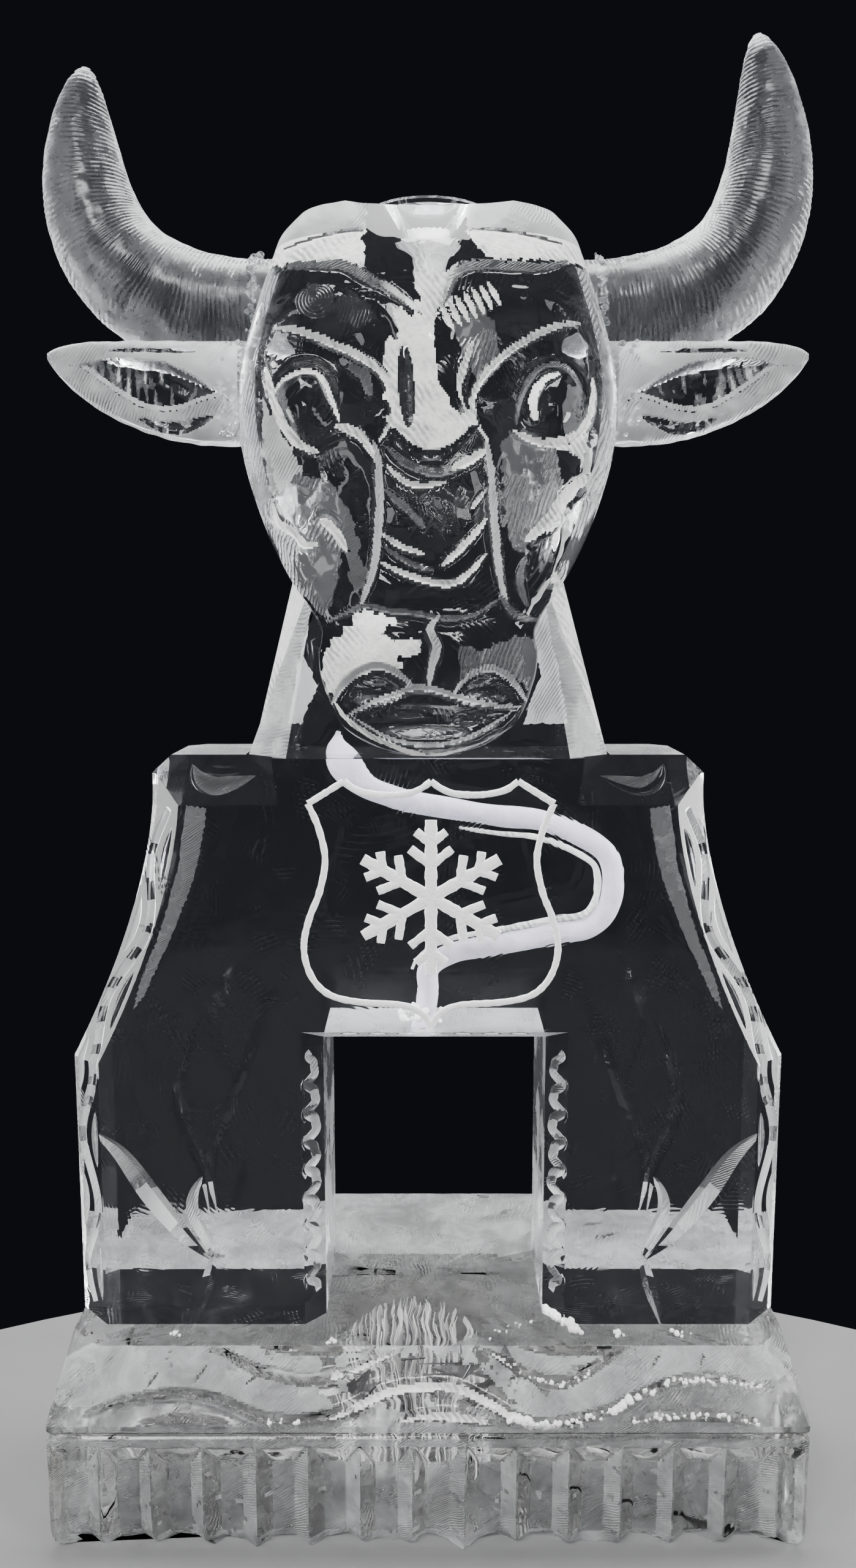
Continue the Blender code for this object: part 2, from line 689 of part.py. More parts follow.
# Gouged lines of the face: name, points, number of steps, half width and depth. Points and half
# widths are shares of half the head's width, heights are shares of its height, depths are shares of
# HEAD_REACH, and each line is cut on both sides of the face.
PAIRED_CUTS = (
    ("Brow line", ((0.66, 0.885), (0.42, 0.870), (0.19, 0.820), (0.04, 0.775)), 7, 0.039, 0.055),
    ("Socket line", ((0.70, 0.775), (0.40, 0.728), (0.20, 0.665), (0.20, 0.575)), 8, 0.039, 0.063),
    ("Bridge line", ((0.22, 0.57), (0.24, 0.47), (0.25, 0.38), (0.32, 0.275)), 7, 0.031, 0.047),
    ("Frown", ((0.13, 0.72), (0.15, 0.66), (0.12, 0.595)), 5, 0.039, 0.055),
    ("Lower lid", ((0.42, 0.61), (0.58, 0.555), (0.78, 0.61)), 7, 0.027, 0.047),
    ("Upper lid", ((0.40, 0.64), (0.59, 0.718), (0.79, 0.65)), 7, 0.027, 0.047),
    ("Cheek cut", ((0.34, 0.37), (0.52, 0.40), (0.70, 0.475)), 5, 0.047, 0.055),
    ("Muzzle line", ((0.02, 0.262), (0.25, 0.272), (0.50, 0.252)), 5, 0.024, 0.039),
    ("Nostril", ((0.10, 0.125), (0.28, 0.165), (0.46, 0.115)), 5, 0.047, 0.079),
)
# The same for lines that cross or follow the middle of the face
MIDDLE_CUTS = (
    ("Upper lip", ((-0.38, 0.098), (0.0, 0.132), (0.38, 0.098)), 7, 0.031, 0.047),
    ("Lower lip", ((-0.36, 0.085), (0.0, 0.040), (0.36, 0.085)), 7, 0.031, 0.047),
    ("Philtrum", ((0.01, 0.255), (0.02, 0.20), (0.0, 0.150)), 5, 0.031, 0.047),
)
# Wrinkles across the nose: height of the ends and how far the middle hangs below them, then how
# far they reach to each side, their half width and their depth
WRINKLES = ((0.555, 0.035), (0.505, 0.030), (0.455, 0.045), (0.400, 0.045), (0.345, 0.025))
WRINKLE_REACH = 0.19
WRINKLE_WIDTH = 0.031
WRINKLE_DEPTH = 0.047


def on_face(x, height):
    """Point on the carved face at a share of the full half width and of the height."""
    half = read_curve(HEAD_HALF_WIDTH, height)
    x = max(-0.97 * half, min(0.97 * half, x))
    z = HEAD_BASE + HEAD_HEIGHT * height
    return x * HEAD_WIDTH / 2, -head_front(x, height, 0), z


def face_cut(group, name, points, count, width, depth, side=1):
    path = [on_face(side * x, height) for x, height in resample(points, count)]
    width *= HEAD_WIDTH / 2
    depth *= HEAD_REACH
    cutter = gouge(path, FRONTWARD, width, depth, name, group, lift=FACE_CUT_RAISE)
    cutter.modifiers.new("Triangles", "TRIANGULATE")


def face_cutters(group):
    for name, *line in PAIRED_CUTS:
        for side in (-1, 1):
            face_cut(group, f"{name} {side}", *line, side=side)
    for line in MIDDLE_CUTS:
        face_cut(group, *line)
    for i, (height, drop) in enumerate(WRINKLES):
        points = ((-WRINKLE_REACH, height), (0.0, height - drop), (WRINKLE_REACH, height))
        face_cut(group, f"Wrinkle {i + 1}", points, 5, WRINKLE_WIDTH, WRINKLE_DEPTH)


def bowl_cutter(group):
    top = HEAD_BASE + HEAD_HEIGHT + COLLAR_RISE
    bm = bmesh.new()
    slope = (BOWL_RADIUS - BOWL_FLOOR_RADIUS) / (BOWL_DEPTH + COLLAR_RISE)
    upper = BOWL_RADIUS + slope * OVERSHOOT
    height = BOWL_DEPTH + COLLAR_RISE + OVERSHOOT
    bmesh.ops.create_cone(
        bm, cap_ends=True, segments=BOWL_SIDES, radius1=BOWL_FLOOR_RADIUS, radius2=upper, depth=height
    )
    middle = top + OVERSHOOT - height / 2
    bmesh.ops.translate(bm, vec=(0, BOWL_Y, middle), verts=bm.verts)
    return as_cutter(object_from(bm, "Bowl", group))


def collar_solid(group):
    """Low ring of clear ice round the bowl's mouth."""
    top = HEAD_BASE + HEAD_HEIGHT + COLLAR_RISE
    bm = bmesh.new()
    depth = BOWL_DEPTH
    radius = BOWL_RADIUS + COLLAR_WALL
    bmesh.ops.create_cone(
        bm, cap_ends=True, segments=BOWL_SIDES, radius1=radius, radius2=radius, depth=depth
    )
    bmesh.ops.translate(bm, vec=(0, BOWL_Y, top - depth / 2), verts=bm.verts)
    return shade_round(as_cutter(object_from(bm, "Collar", group)))


def make_head(parts, joined, cuts, material):
    head = head_solid("head", parts, 0)
    head.data.materials.append(material)
    join_with(head, neck_solid(joined))
    join_with(head, collar_solid(joined))
    bowl_cutter(cuts)
    face_cutters(cuts)
    cut(head, cuts)
    return head


# Horns and ears

def crowded(count):
    """Shares from 0 to 1 that lie closer together towards 1."""
    return [1 - (1 - i / (count - 1)) ** TIP_CROWDING for i in range(count)]


def horn_centre(side, bulge_x, tip_x, tip_z, t):
    """Point on the curve that a horn follows out from the head and up to its tip."""
    root = Vector((HORN_ROOT_X, HORN_Y, HORN_ROOT_Z))
    leave = root + Vector((HORN_LEAVE, 0, 0))
    tip = Vector((tip_x, HORN_Y, tip_z))
    arrive = Vector((bulge_x, HORN_Y, tip_z - HORN_BULGE * (tip_z - HORN_ROOT_Z)))
    point = root * (1 - t) ** 3 + leave * 3 * t * (1 - t) ** 2 + arrive * 3 * t * t * (1 - t) + tip * t ** 3
    point.x *= side
    return point


def horn_solid(name, group, shape, grow):
    """Round horn along its curve, thin at the tip; shape is its side, bulge and tip."""
    steps = crowded(HORN_STATIONS)
    centres = [horn_centre(*shape, t) for t in steps]
    last = HORN_STATIONS - 1
    flat = Vector((0, 1, 0))
    rings = []
    for i, centre in enumerate(centres):
        taper = math.sqrt(1 - steps[i] ** HORN_TAPER)
        radius = max(HORN_TIP_DIAMETER, HORN_ROOT_DIAMETER * taper) / 2 + grow
        run = (centres[min(i + 1, last)] - centres[max(i - 1, 0)]).normalized()
        across = flat.cross(run).normalized()
        ring = []
        for k in range(HORN_SIDES):
            turn = 2 * math.pi * k / HORN_SIDES
            ring.append(centre + (across * math.cos(turn) + flat * math.sin(turn)) * radius)
        rings.append(ring)
    bm = bmesh.new()
    loft(bm, rings)
    return shade_round(object_from(bm, name, group))


def make_horn(name, shape, parts, guides, seat, material):
    horn = horn_solid(name, parts, shape, 0)
    horn.data.materials.append(material)
    cut_by(horn, seat)
    return as_cutter(horn_solid(name + " clearance", guides, shape, JOINT_GAP))


def ear_rings(side):
    """Leaf-shaped cup: rim and hollow at the front, rounded back."""
    rings = []
    for share in crowded(EAR_STATIONS):
        share = min(0.992, share)
        x = EAR_ROOT_X + (EAR_TIP_X - EAR_ROOT_X) * share
        body = max(0, (share - 0.15) / 0.85)
        top = EAR_TIP_Z + (EAR_TOP_Z - EAR_TIP_Z) * (1 - body ** 6) ** 0.5
        bottom = EAR_TIP_Z - (EAR_TIP_Z - EAR_BOTTOM_Z) * (1 - body ** 2.2) ** 0.75
        tall = top - bottom
        thick = EAR_THICKNESS * (1 - 0.75 * body ** 1.5)
        front = EAR_FRONT + 0.18 * EAR_THICKNESS * body
        cupped = math.sin(math.pi * min(1, max(0, (share - 0.06) / 0.88))) ** 0.6
        hollow = min(EAR_HOLLOW, 0.5 * thick) * cupped
        profile = (
            (0.0, 0.45 * thick), (0.10, 0.06 * thick), (0.20, 0), (0.36, hollow), (0.60, hollow),
            (0.74, 0.03 * thick), (0.84, 0.08 * thick), (1.0, 0.5 * thick), (0.82, 0.9 * thick),
            (0.5, thick), (0.2, 0.85 * thick),
        )
        rings.append([(side * x, front + deep, top - down * tall) for down, deep in profile])
    return rings


def make_ear(name, side, parts, seats, material):
    bm = bmesh.new()
    loft(bm, ear_rings(side))
    ear = shade_round(object_from(bm, name, parts))
    ear.data.materials.append(material)
    for seat in seats:
        cut_by(ear, seat)
    return ear


def build():
    clear_scene()
    parts = new_collection("Bull head ice sculpture")
    cutters = new_collection("Cutters")
    groups = {}
    for name in ("Plinth cuts", "Shoulder cuts", "Head cuts", "Joined to head", "Clearances"):
        groups[name] = bpy.data.collections.new(name)
        cutters.children.link(groups[name])
    clear_ice = ice_material("Clear ice", (0.90, 0.93, 0.95), 0.05)
    frosted_ice = ice_material("Frosted ice", (0.90, 0.92, 0.93), 0.5)

    make_plinth(parts, groups["Plinth cuts"], frosted_ice)
    make_shoulder_block(parts, groups["Shoulder cuts"], clear_ice)
    make_head(parts, groups["Joined to head"], groups["Head cuts"], clear_ice)
    seat = as_cutter(head_solid("Head clearance", groups["Clearances"], JOINT_GAP))
    horns = (
        ("left", -1, HORN_LEFT_BULGE_X, HORN_LEFT_TIP_X, HORN_LEFT_TIP_Z),
        ("right", 1, HORN_RIGHT_BULGE_X, HORN_RIGHT_TIP_X, HORN_RIGHT_TIP_Z),
    )
    for name, *shape in horns:
        clearance = make_horn("horn_" + name, shape, parts, groups["Clearances"], seat, frosted_ice)
        make_ear("ear_" + name, shape[0], parts, (seat, clearance), frosted_ice)


build()
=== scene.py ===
"""Carved clear ice bull's head: its looks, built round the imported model.

The scene is in metres, +Z up, and the head faces -Y. Shapes are worked out in millimetres in the
same frame, and skin() brings them into metres.
"""

import math

import bmesh
import bpy
import numpy as np
from mathutils import Matrix, Vector


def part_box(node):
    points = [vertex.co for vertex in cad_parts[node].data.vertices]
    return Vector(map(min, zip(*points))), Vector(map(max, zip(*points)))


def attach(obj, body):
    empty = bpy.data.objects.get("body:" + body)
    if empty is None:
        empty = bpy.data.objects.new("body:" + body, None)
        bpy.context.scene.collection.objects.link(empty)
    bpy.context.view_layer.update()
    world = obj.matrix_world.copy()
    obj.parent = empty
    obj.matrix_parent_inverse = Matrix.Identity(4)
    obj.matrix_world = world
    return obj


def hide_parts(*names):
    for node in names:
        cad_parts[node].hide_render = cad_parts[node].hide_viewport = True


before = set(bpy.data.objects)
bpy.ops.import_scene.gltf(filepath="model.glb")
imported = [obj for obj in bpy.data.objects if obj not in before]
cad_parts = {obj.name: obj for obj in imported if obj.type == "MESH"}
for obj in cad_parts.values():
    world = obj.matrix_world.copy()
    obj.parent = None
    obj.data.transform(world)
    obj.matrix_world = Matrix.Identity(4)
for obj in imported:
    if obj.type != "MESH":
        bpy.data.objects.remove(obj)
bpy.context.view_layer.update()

# Plinth
# Half a standard block of ice lying flat. A carver sawed its front top edge to a slope, ran a V
# groove under it, and cut flutes all round with a broad chisel. Its foot has begun to melt.
MM = 0.001


def solid_box(name):
    """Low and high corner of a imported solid, in millimetres."""
    return [np.array(corner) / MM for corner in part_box(name)]


low, high = solid_box("plinth")
PLINTH_HALF, PLINTH_FRONT, PLINTH_BACK, PLINTH_TOP = high[0], low[1], high[1], high[2]
SLOPE_FOOT = 92
SIDE_LEAN = 5 / 35
CORNER_LEAN = (24 + 35) / 35
GROOVE_LEVEL, GROOVE_DEPTH = 84.5, 3.2
FLUTE_PITCH, FLUTE_DEPTH, FLUTE_TOP, FLUTE_HIP, FLUTE_FLOOR = 34.8, 7, 77, 15, 0.5
# V grooves of the front slope, in millimetres across and up the slope
WAVES = (
    ((-230, 7), (-212, 13.5), (-193, 17), (-169, 19.5), (-145, 17), (-128, 11), (-111, 5), (-94, 3),
     (-77, 4), (-53, 9.5), (-28, 20), (0, 23.5), (19, 22.5), (37, 15), (55, 6), (73, 1), (97, 3.4),
     (119, 8.5), (138, 16.5), (157, 24), (176, 28), (195, 29), (213, 26), (228, 23)),
    ((-152, 46), (-141, 45), (-121, 35.5), (-104, 31), (-87, 28), (-73, 29), (-53, 33), (-37, 39),
     (-16, 47)),
    ((36, 48), (56, 37.5), (74, 28.5), (89, 26), (104, 31), (121, 40), (138, 48)),
    ((-196, -1), (-178, 1.5), (-160, 2.5), (-140, 0.5), (-122, -5)),
    ((-24, 2), (0, 5.5), (19, 5), (40, 0.5), (56, -4)),
    ((128, 1.5), (155, 5.5), (182, 7), (209, 3.5), (224, -1)),
    ((-118, 49), (-90, 47), (-60, 47.5), (-30, 49)),
    ((60, 49), (90, 46.5), (120, 47), (140, 49)),
)
WAVE_WIDTH, WAVE_DEPTH = 5.2, 3.4
# Short cross cuts between the waves, from one point to another
CHIPS = (
    ((-191, 22), (-183, 34)), ((-160, 25), (-150, 38)), ((-125, 24), (-112, 34)), ((150, 32), (160, 46)),
    ((185, 36), (190, 46)),
)
CHIP_SIZE = 1.6
WAVE_TOP, BACK_OF_SLOPE = 49.5, -88
# Corners rounded by melting, and how far apart the mesh's points are on the front, sides and back
ARRIS, ARRIS_POINTS, OUTLINE_STEPS = 3, 24, (1.25, 2.4, 2.8, 2.4)
# Melted foot and the lip over it: how tall each is, how far it goes in or up, and how unevenly
MELT_TALL, MELT_DEEP, MELT_UNEVEN = 16, 5, 3.5
LIP_TALL, LIP_RISE, LIP_UNEVEN = 26, 3.4, 3.2
# Rings over the top, as shares of the way out from its middle
TOP_SHARES = (0.995, 0.985, 0.97, 0.94, 0.9, 0.85, 0.79, 0.72, 0.64, 0.55, 0.45, 0.34, 0.22, 0.1)
# Clear places that show the cloudy heart: across and up in the slope, across and back in the ledge
SLOPE_WINDOW, SLOPE_WINDOW_HALF = (-6, 26), (62, 20)
LEDGE_WINDOW, LEDGE_WINDOW_HALF = (-11, -41), (62, 56)


def ripple(points, size, seed):
    """Smooth unevenness of about -1 to 1 that repeats nowhere, with bumps of a given size."""
    dice = np.random.default_rng(seed)
    total = 0
    for _ in range(8):
        way = dice.normal(size=points.shape[-1])
        way *= 2 * math.pi / size * dice.uniform(0.5, 1.5) / np.linalg.norm(way)
        total = total + np.sin(points @ way + dice.uniform(0, 2 * math.pi))
    return total / 4


def curve(keys, at):
    """Smooth curve through (position, value) keys, read at many positions."""
    place, value = np.array(keys, float).T
    slope = np.gradient(value)
    slope[1:-1] = (value[2:] - value[:-2]) / (place[2:] - place[:-2])
    slope[0] = (value[1] - value[0]) / (place[1] - place[0])
    slope[-1] = (value[-1] - value[-2]) / (place[-1] - place[-2])
    at = np.clip(at, place[0], place[-1])
    i = np.clip(np.searchsorted(place, at, side="right") - 1, 0, len(place) - 2)
    span = place[i + 1] - place[i]
    t = (at - place[i]) / span
    level = value[i] * (1 + 2 * t) * (1 - t) ** 2 + value[i + 1] * t * t * (3 - 2 * t)
    return level + span * (slope[i] * t * (1 - t) ** 2 - slope[i + 1] * t * t * (1 - t))


def smooth_line(points, count):
    """Even steps along a smooth line through a few points."""
    points = np.array(points, float)
    steps = np.linspace(0, len(points) - 1, count)
    keys = np.arange(len(points))
    return np.stack([curve(np.stack([keys, column], 1), steps) for column in points.T], 1)


def carved(across, up, line, half_width, depth, blunt=0.5):
    """Depth of a V gouge along a line at every point of a carved face, running out at its ends."""
    line = np.array(line, float)
    across, up = np.broadcast_arrays(across, up)
    low, high = line.min(0) - half_width, line.max(0) + half_width
    near = (across > low[0]) & (across < high[0]) & (up > low[1]) & (up < high[1])
    x, z = across[near], up[near]
    cut = np.zeros(len(x))
    legs = len(line) - 1
    for i, (start, end) in enumerate(zip(line, line[1:])):
        run = end - start
        share = ((x - start[0]) * run[0] + (z - start[1]) * run[1]) / max(run @ run, 1e-9)
        share = np.clip(share, 0, 1)
        away = np.hypot(x - start[0] - share * run[0], z - start[1] - share * run[1])
        fullness = np.sin(np.pi * np.clip((i + share) / legs, 0.001, 0.999)) ** blunt
        cut = np.maximum(cut, depth * fullness * (1 - away / (half_width * fullness + 0.1)))
    deepest = np.zeros(across.shape)
    deepest[near] = cut
    return deepest


def stand(name, data):
    """Put a mesh, a lamp or a camera in the scene."""
    item = bpy.data.objects.new(name, data)
    bpy.context.scene.collection.objects.link(item)
    return item


def skin(name, rings, smooth_below=35):
    """Piece with a skin over a row of rings with equal numbers of points, closed flat at both ends."""
    rings = np.asarray(rings, float)
    rows, count = rings.shape[:2]
    grid = np.arange(rows * count).reshape(rows, count)
    after = np.roll(grid, -1, axis=1)
    faces = np.stack([grid[:-1], after[:-1], after[1:], grid[1:]], -1).reshape(-1, 4).tolist()
    faces += [grid[0][::-1].tolist(), grid[-1].tolist()]
    mesh = bpy.data.meshes.new(name)
    mesh.from_pydata((rings.reshape(-1, 3) * MM).tolist(), [], faces)
    shell = bmesh.new()
    shell.from_mesh(mesh)
    bmesh.ops.recalc_face_normals(shell, faces=shell.faces)
    shell.to_mesh(mesh)
    shell.free()
    mesh.shade_smooth()
    mesh.set_sharp_from_angle(angle=math.radians(smooth_below))
    return stand(name, mesh)


def paint(item, materials, choice=0):
    """Give a piece its materials. The choice numbers one for the piece, or one for each of its faces."""
    for material in materials:
        item.data.materials.append(material)
    numbers = np.zeros(len(item.data.polygons), int)
    if np.ndim(choice):
        numbers[:len(choice)] = choice
    else:
        numbers[:] = choice
    item.data.polygons.foreach_set("material_index", numbers)


def new_group(name, inputs, outputs):
    """Empty shader node group with named number sockets."""
    group = bpy.data.node_groups.new(name, "ShaderNodeTree")
    for label, value in inputs:
        socket = group.interface.new_socket(label, in_out="INPUT", socket_type="NodeSocketFloat")
        socket.default_value = value
    for label in outputs:
        group.interface.new_socket(label, in_out="OUTPUT", socket_type="NodeSocketFloat")
    return group, group.nodes.new("NodeGroupInput").outputs, group.nodes.new("NodeGroupOutput").inputs


def node(tree, kind, settings=None, **inputs):
    """Add a node; inputs are numbers or the sockets that feed them."""
    made = tree.nodes.new("ShaderNode" + kind)
    for label, value in (settings or {}).items():
        setattr(made, label, value)
    for label, value in inputs.items():
        slot = int(label[1:]) if label[1:].isdigit() else label.replace("_", " ")
        if isinstance(value, bpy.types.NodeSocket):
            tree.links.new(value, made.inputs[slot])
        else:
            made.inputs[slot].default_value = value
    return made


def times(tree, one, other):
    """Product of two sockets, or of a socket and a number."""
    return node(tree, "Math", {"operation": "MULTIPLY"}, _0=one, _1=other).outputs[0]


def melt_group():
    """Soft dips and beads that a wet, melting surface shows."""
    group, given, result = new_group("Melt", (("Size", 30), ("Depth", 1)), ("Height",))
    place = node(group, "TexCoord").outputs["Object"]
    broad = node(group, "TexNoise", Vector=place, Scale=given["Size"], Detail=3, Roughness=0.45)
    group.links.new(times(group, broad.outputs[0], given["Depth"]), result["Height"])
    return group


def grain_group():
    """Fine unevenness of crushed, sawn or cloudy ice."""
    inputs = (("Scale", 160), ("Detail", 5), ("Roughness", 0.5), ("Distortion", 0))
    group, given, result = new_group("Grain", inputs, ("Value",))
    place = node(group, "TexCoord").outputs["Object"]
    noise = node(group, "TexNoise", Vector=place, Scale=given["Scale"], Detail=given["Detail"],
                 Roughness=given["Roughness"], Distortion=given["Distortion"])
    group.links.new(noise.outputs[0], result["Value"])
    return group


def file_mark_group():
    """Fine parallel scratches of a saw or file, broken up where the tool skipped."""
    inputs = (("Pitch", 300), ("Depth", 1), ("Tilt", 0))
    group, given, result = new_group("File marks", inputs, ("Height", "Mask"))
    place = node(group, "TexCoord").outputs["Object"]
    wobble = node(group, "TexNoise", Vector=place, Scale=14, Detail=2)
    bent = node(group, "VectorMath", {"operation": "MULTIPLY_ADD"},
                _0=wobble.outputs[1], _1=(0.02, 0.02, 0.02), _2=place)
    turned = node(group, "VectorRotate", {"rotation_type": "Y_AXIS"},
                  Vector=bent.outputs[0], Angle=given["Tilt"])
    line = node(group, "TexWave", {"bands_direction": "Z"},
                Vector=turned.outputs[0], Scale=given["Pitch"], Distortion=3, Detail=2)
    skips = node(group, "TexNoise", Vector=place, Scale=26, Detail=4, Roughness=0.6)
    mask = node(group, "MapRange", Value=skips.outputs[0], _1=0.46, _2=0.58)
    cut_in = times(group, line.outputs[1], mask.outputs[0])
    group.links.new(times(group, cut_in, given["Depth"]), result["Height"])
    group.links.new(mask.outputs[0], result["Mask"])
    return group


MELT, GRAIN, FILE_MARKS = melt_group(), grain_group(), file_mark_group()


def use_group(tree, group, **values):
    """Place a node group in a material with its own values."""
    made = node(tree, "Group", {"node_tree": group})
    for label, value in values.items():
        made.inputs[label].default_value = value
    return made.outputs


def ice(name, colour, roughness, clearness, lets_through):
    """Ice that bends what is seen through it and lets the lamps' shadow rays pass."""
    material = bpy.data.materials.new(name)
    material.use_nodes = True
    tree = material.node_tree
    shader = tree.nodes["Principled BSDF"]
    shader.inputs["Base Color"].default_value = (*colour, 1)
    shader.inputs["Roughness"].default_value = roughness
    shader.inputs["IOR"].default_value = 1.31
    shader.inputs["Transmission Weight"].default_value = clearness
    passing = node(tree, "BsdfTransparent", Color=(lets_through, lets_through, lets_through * 1.02, 1))
    path = node(tree, "LightPath")
    mix = node(tree, "MixShader", _0=path.outputs["Is Shadow Ray"])
    tree.links.new(shader.outputs[0], mix.inputs[1])
    tree.links.new(passing.outputs[0], mix.inputs[2])
    tree.links.new(mix.outputs[0], tree.nodes["Material Output"].inputs["Surface"])
    return material, tree, shader


def roughen(tree, shader, value, low, high, smoothest, roughest):
    """Let the roughness follow a value between two levels."""
    rough = node(tree, "MapRange", Value=value, _1=low, _2=high, _3=smoothest, _4=roughest)
    tree.links.new(rough.outputs[0], shader.inputs["Roughness"])


def tint(tree, shader, value, *tones):
    """Let the base colour run from one tone to the other as a value rises past their levels."""
    ramp = node(tree, "ValToRGB", Fac=value)
    for end, (level, colour) in zip(ramp.color_ramp.elements, tones):
        end.position = level
        end.color = (*colour, 1)
    tree.links.new(ramp.outputs[0], shader.inputs["Base Color"])


def bump(tree, shader, distance, *heights):
    """Feed the sum of some heights, in shares of a distance, to the shader's normal."""
    total = heights[0]
    for height in heights[1:]:
        total = node(tree, "Math", {"operation": "ADD"}, _0=total, _1=height).outputs[0]
    made = node(tree, "Bump", Height=total, Distance=distance, Strength=1.0)
    tree.links.new(made.outputs[0], shader.inputs["Normal"])


def white_frost():
    """Ice bruised white by the tool: most light scatters back from its fine cracks."""
    material, tree, shader = ice("white frost", (0.95, 0.95, 0.93), 0.55, 0.2, 0.25)
    grain = use_group(tree, GRAIN, Scale=240, Detail=5, Roughness=0.7)
    marks = use_group(tree, FILE_MARKS, Pitch=85, Depth=0.5, Tilt=-0.9)
    streaked = node(tree, "Math", {"operation": "SUBTRACT"}, _0=grain["Value"], _1=marks["Height"])
    tint(tree, shader, streaked.outputs[0], (0, (0.55, 0.56, 0.56)), (0.55, (0.97, 0.97, 0.95)))
    bump(tree, shader, 0.0014, grain["Value"], marks["Height"])
    return material


def plinth_ice(name, colour, roughness, clearness, dull):
    """Ice of the plinth: darker than the rest, for it is cloudy inside and stands in its own shadow."""
    material, tree, shader = ice(name, colour, roughness, clearness, 0.8 - 0.6 * dull)
    marks = use_group(tree, FILE_MARKS, Pitch=200, Depth=0.35 * dull, Tilt=0.5)
    wet = use_group(tree, MELT, Size=40, Depth=1.0)
    roughen(tree, shader, wet["Height"], 0.35, 0.62, 0.4 * roughness, 1.5 * roughness)
    if dull:
        veil = use_group(tree, GRAIN, Scale=34, Detail=7, Roughness=0.72, Distortion=0.6)
        dark, light = ([share * part for part in colour] for share in (0.66, 1.12))
        tint(tree, shader, veil["Value"], (0.38, dark), (0.62, light))
    bump(tree, shader, 0.0005 + 0.0009 * dull, marks["Height"], wet["Height"])
    return material


PLINTH_SATIN = plinth_ice("cloudy ice", (0.74, 0.745, 0.74), 0.26, 0.93, 1)
# The plinth's clear and pale paints are also laid on its flute walls as painted shade and painted light.
PLINTH_CLEAR = plinth_ice("deep clear ice and painted shade", (0.70, 0.69, 0.67), 0.05, 0.99, 0)
PLINTH_PALE = plinth_ice("planed ice and painted light", (0.71, 0.72, 0.72), 0.45, 0.66, 1)
WHITE = white_frost()


def plinth_outline():
    """Points once round the plinth's foot, which way each faces, and how far along its face it is."""
    corners = [
        (-PLINTH_HALF, PLINTH_FRONT), (PLINTH_HALF, PLINTH_FRONT),
        (PLINTH_HALF, PLINTH_BACK), (-PLINTH_HALF, PLINTH_BACK),
    ]
    spots = []
    for i, step in enumerate(OUTLINE_STEPS):
        start, end = np.array(corners[i]), np.array(corners[(i + 1) % 4])
        length = np.abs(end - start).sum()
        run = (end - start) / length
        out = np.array([run[1], -run[0]])
        for along in np.linspace(ARRIS, length - ARRIS, int(length / step)):
            spots.append((*(start + run * along), *out, along, length, i, 0))
        pivot = end - (run + out) * ARRIS
        for turn in np.linspace(0, math.pi / 2, ARRIS_POINTS + 2)[1:-1]:
            way = out * math.cos(turn) + run * math.sin(turn)
            spots.append((*(pivot + way * ARRIS), *way, length, length, i, turn / (math.pi / 2)))
    return np.array(spots).T


def flute_depth(along, length, z):
    """Hipped channel with a flat floor, side by side from the left end of a face."""
    start = np.floor(along / FLUTE_PITCH) * FLUTE_PITCH
    pitch = np.minimum(FLUTE_PITCH, length - start)
    edge = np.minimum(along - start, start + pitch - along)
    spare = (1 - FLUTE_FLOOR) / 2 * np.maximum(pitch, FLUTE_PITCH / 2)
    walls = np.clip((edge - 0.8) / spare, 0, 1)
    hip = np.clip((FLUTE_TOP - z) / FLUTE_HIP, 0, 1)
    return FLUTE_DEPTH * np.minimum(walls, hip)


def wave_depth(x, climb):
    """Waves cut along the slope with a V gouge, with a few short cross cuts between them."""
    deepest = 0 * x
    for line in WAVES:
        wave = carved(x, climb, smooth_line(line, 6 * len(line)), WAVE_WIDTH, WAVE_DEPTH, 0.35)
        deepest = np.maximum(deepest, wave)
    for chip in CHIPS:
        deepest = np.maximum(deepest, carved(x, climb, chip, CHIP_SIZE, CHIP_SIZE))
    return deepest * np.clip(np.minimum(climb - 0.3, WAVE_TOP - climb) / 2, 0, 1)


def sawn_walls(x, y, face, turn, rise):
    """Points across and back of the plain sawn block, at each height over the foot of the slope."""
    front_y = PLINTH_FRONT + rise
    front_half = PLINTH_HALF - (CORNER_LEAN - 1) * rise
    side_half = PLINTH_HALF - SIDE_LEAN * rise
    side_front = PLINTH_FRONT + (CORNER_LEAN - SIDE_LEAN) * rise
    deep = (PLINTH_BACK - side_front) / (PLINTH_BACK - PLINTH_FRONT)
    on_front, on_side = (face == 0) & (turn == 0), (face % 2 == 1) & (turn == 0)
    px = np.where(on_front, x * front_half / PLINTH_HALF, x * (side_half / PLINTH_HALF))
    py = np.where(on_side, PLINTH_BACK - (PLINTH_BACK - y) * deep, y + 0 * rise)
    py = np.where(on_front, front_y, py)
    for number, side in ((0, 1), (3, -1)):
        arc = (face == number) & (turn > 0)
        share = turn if side > 0 else 1 - turn
        lean = (PLINTH_HALF - front_half) * (1 - share) + (PLINTH_HALF - side_half) * share
        arc_y = y + (front_y - PLINTH_FRONT) * (1 - share) + (side_front - PLINTH_FRONT) * share
        px, py = np.where(arc, x - side * lean, px), np.where(arc, arc_y, py)
    return px, py


def oval(across, up, middle, half):
    """Under 1 inside an oval place, and over 1 outside it."""
    return np.hypot((across - middle[0]) / half[0], (up - middle[1]) / half[1])


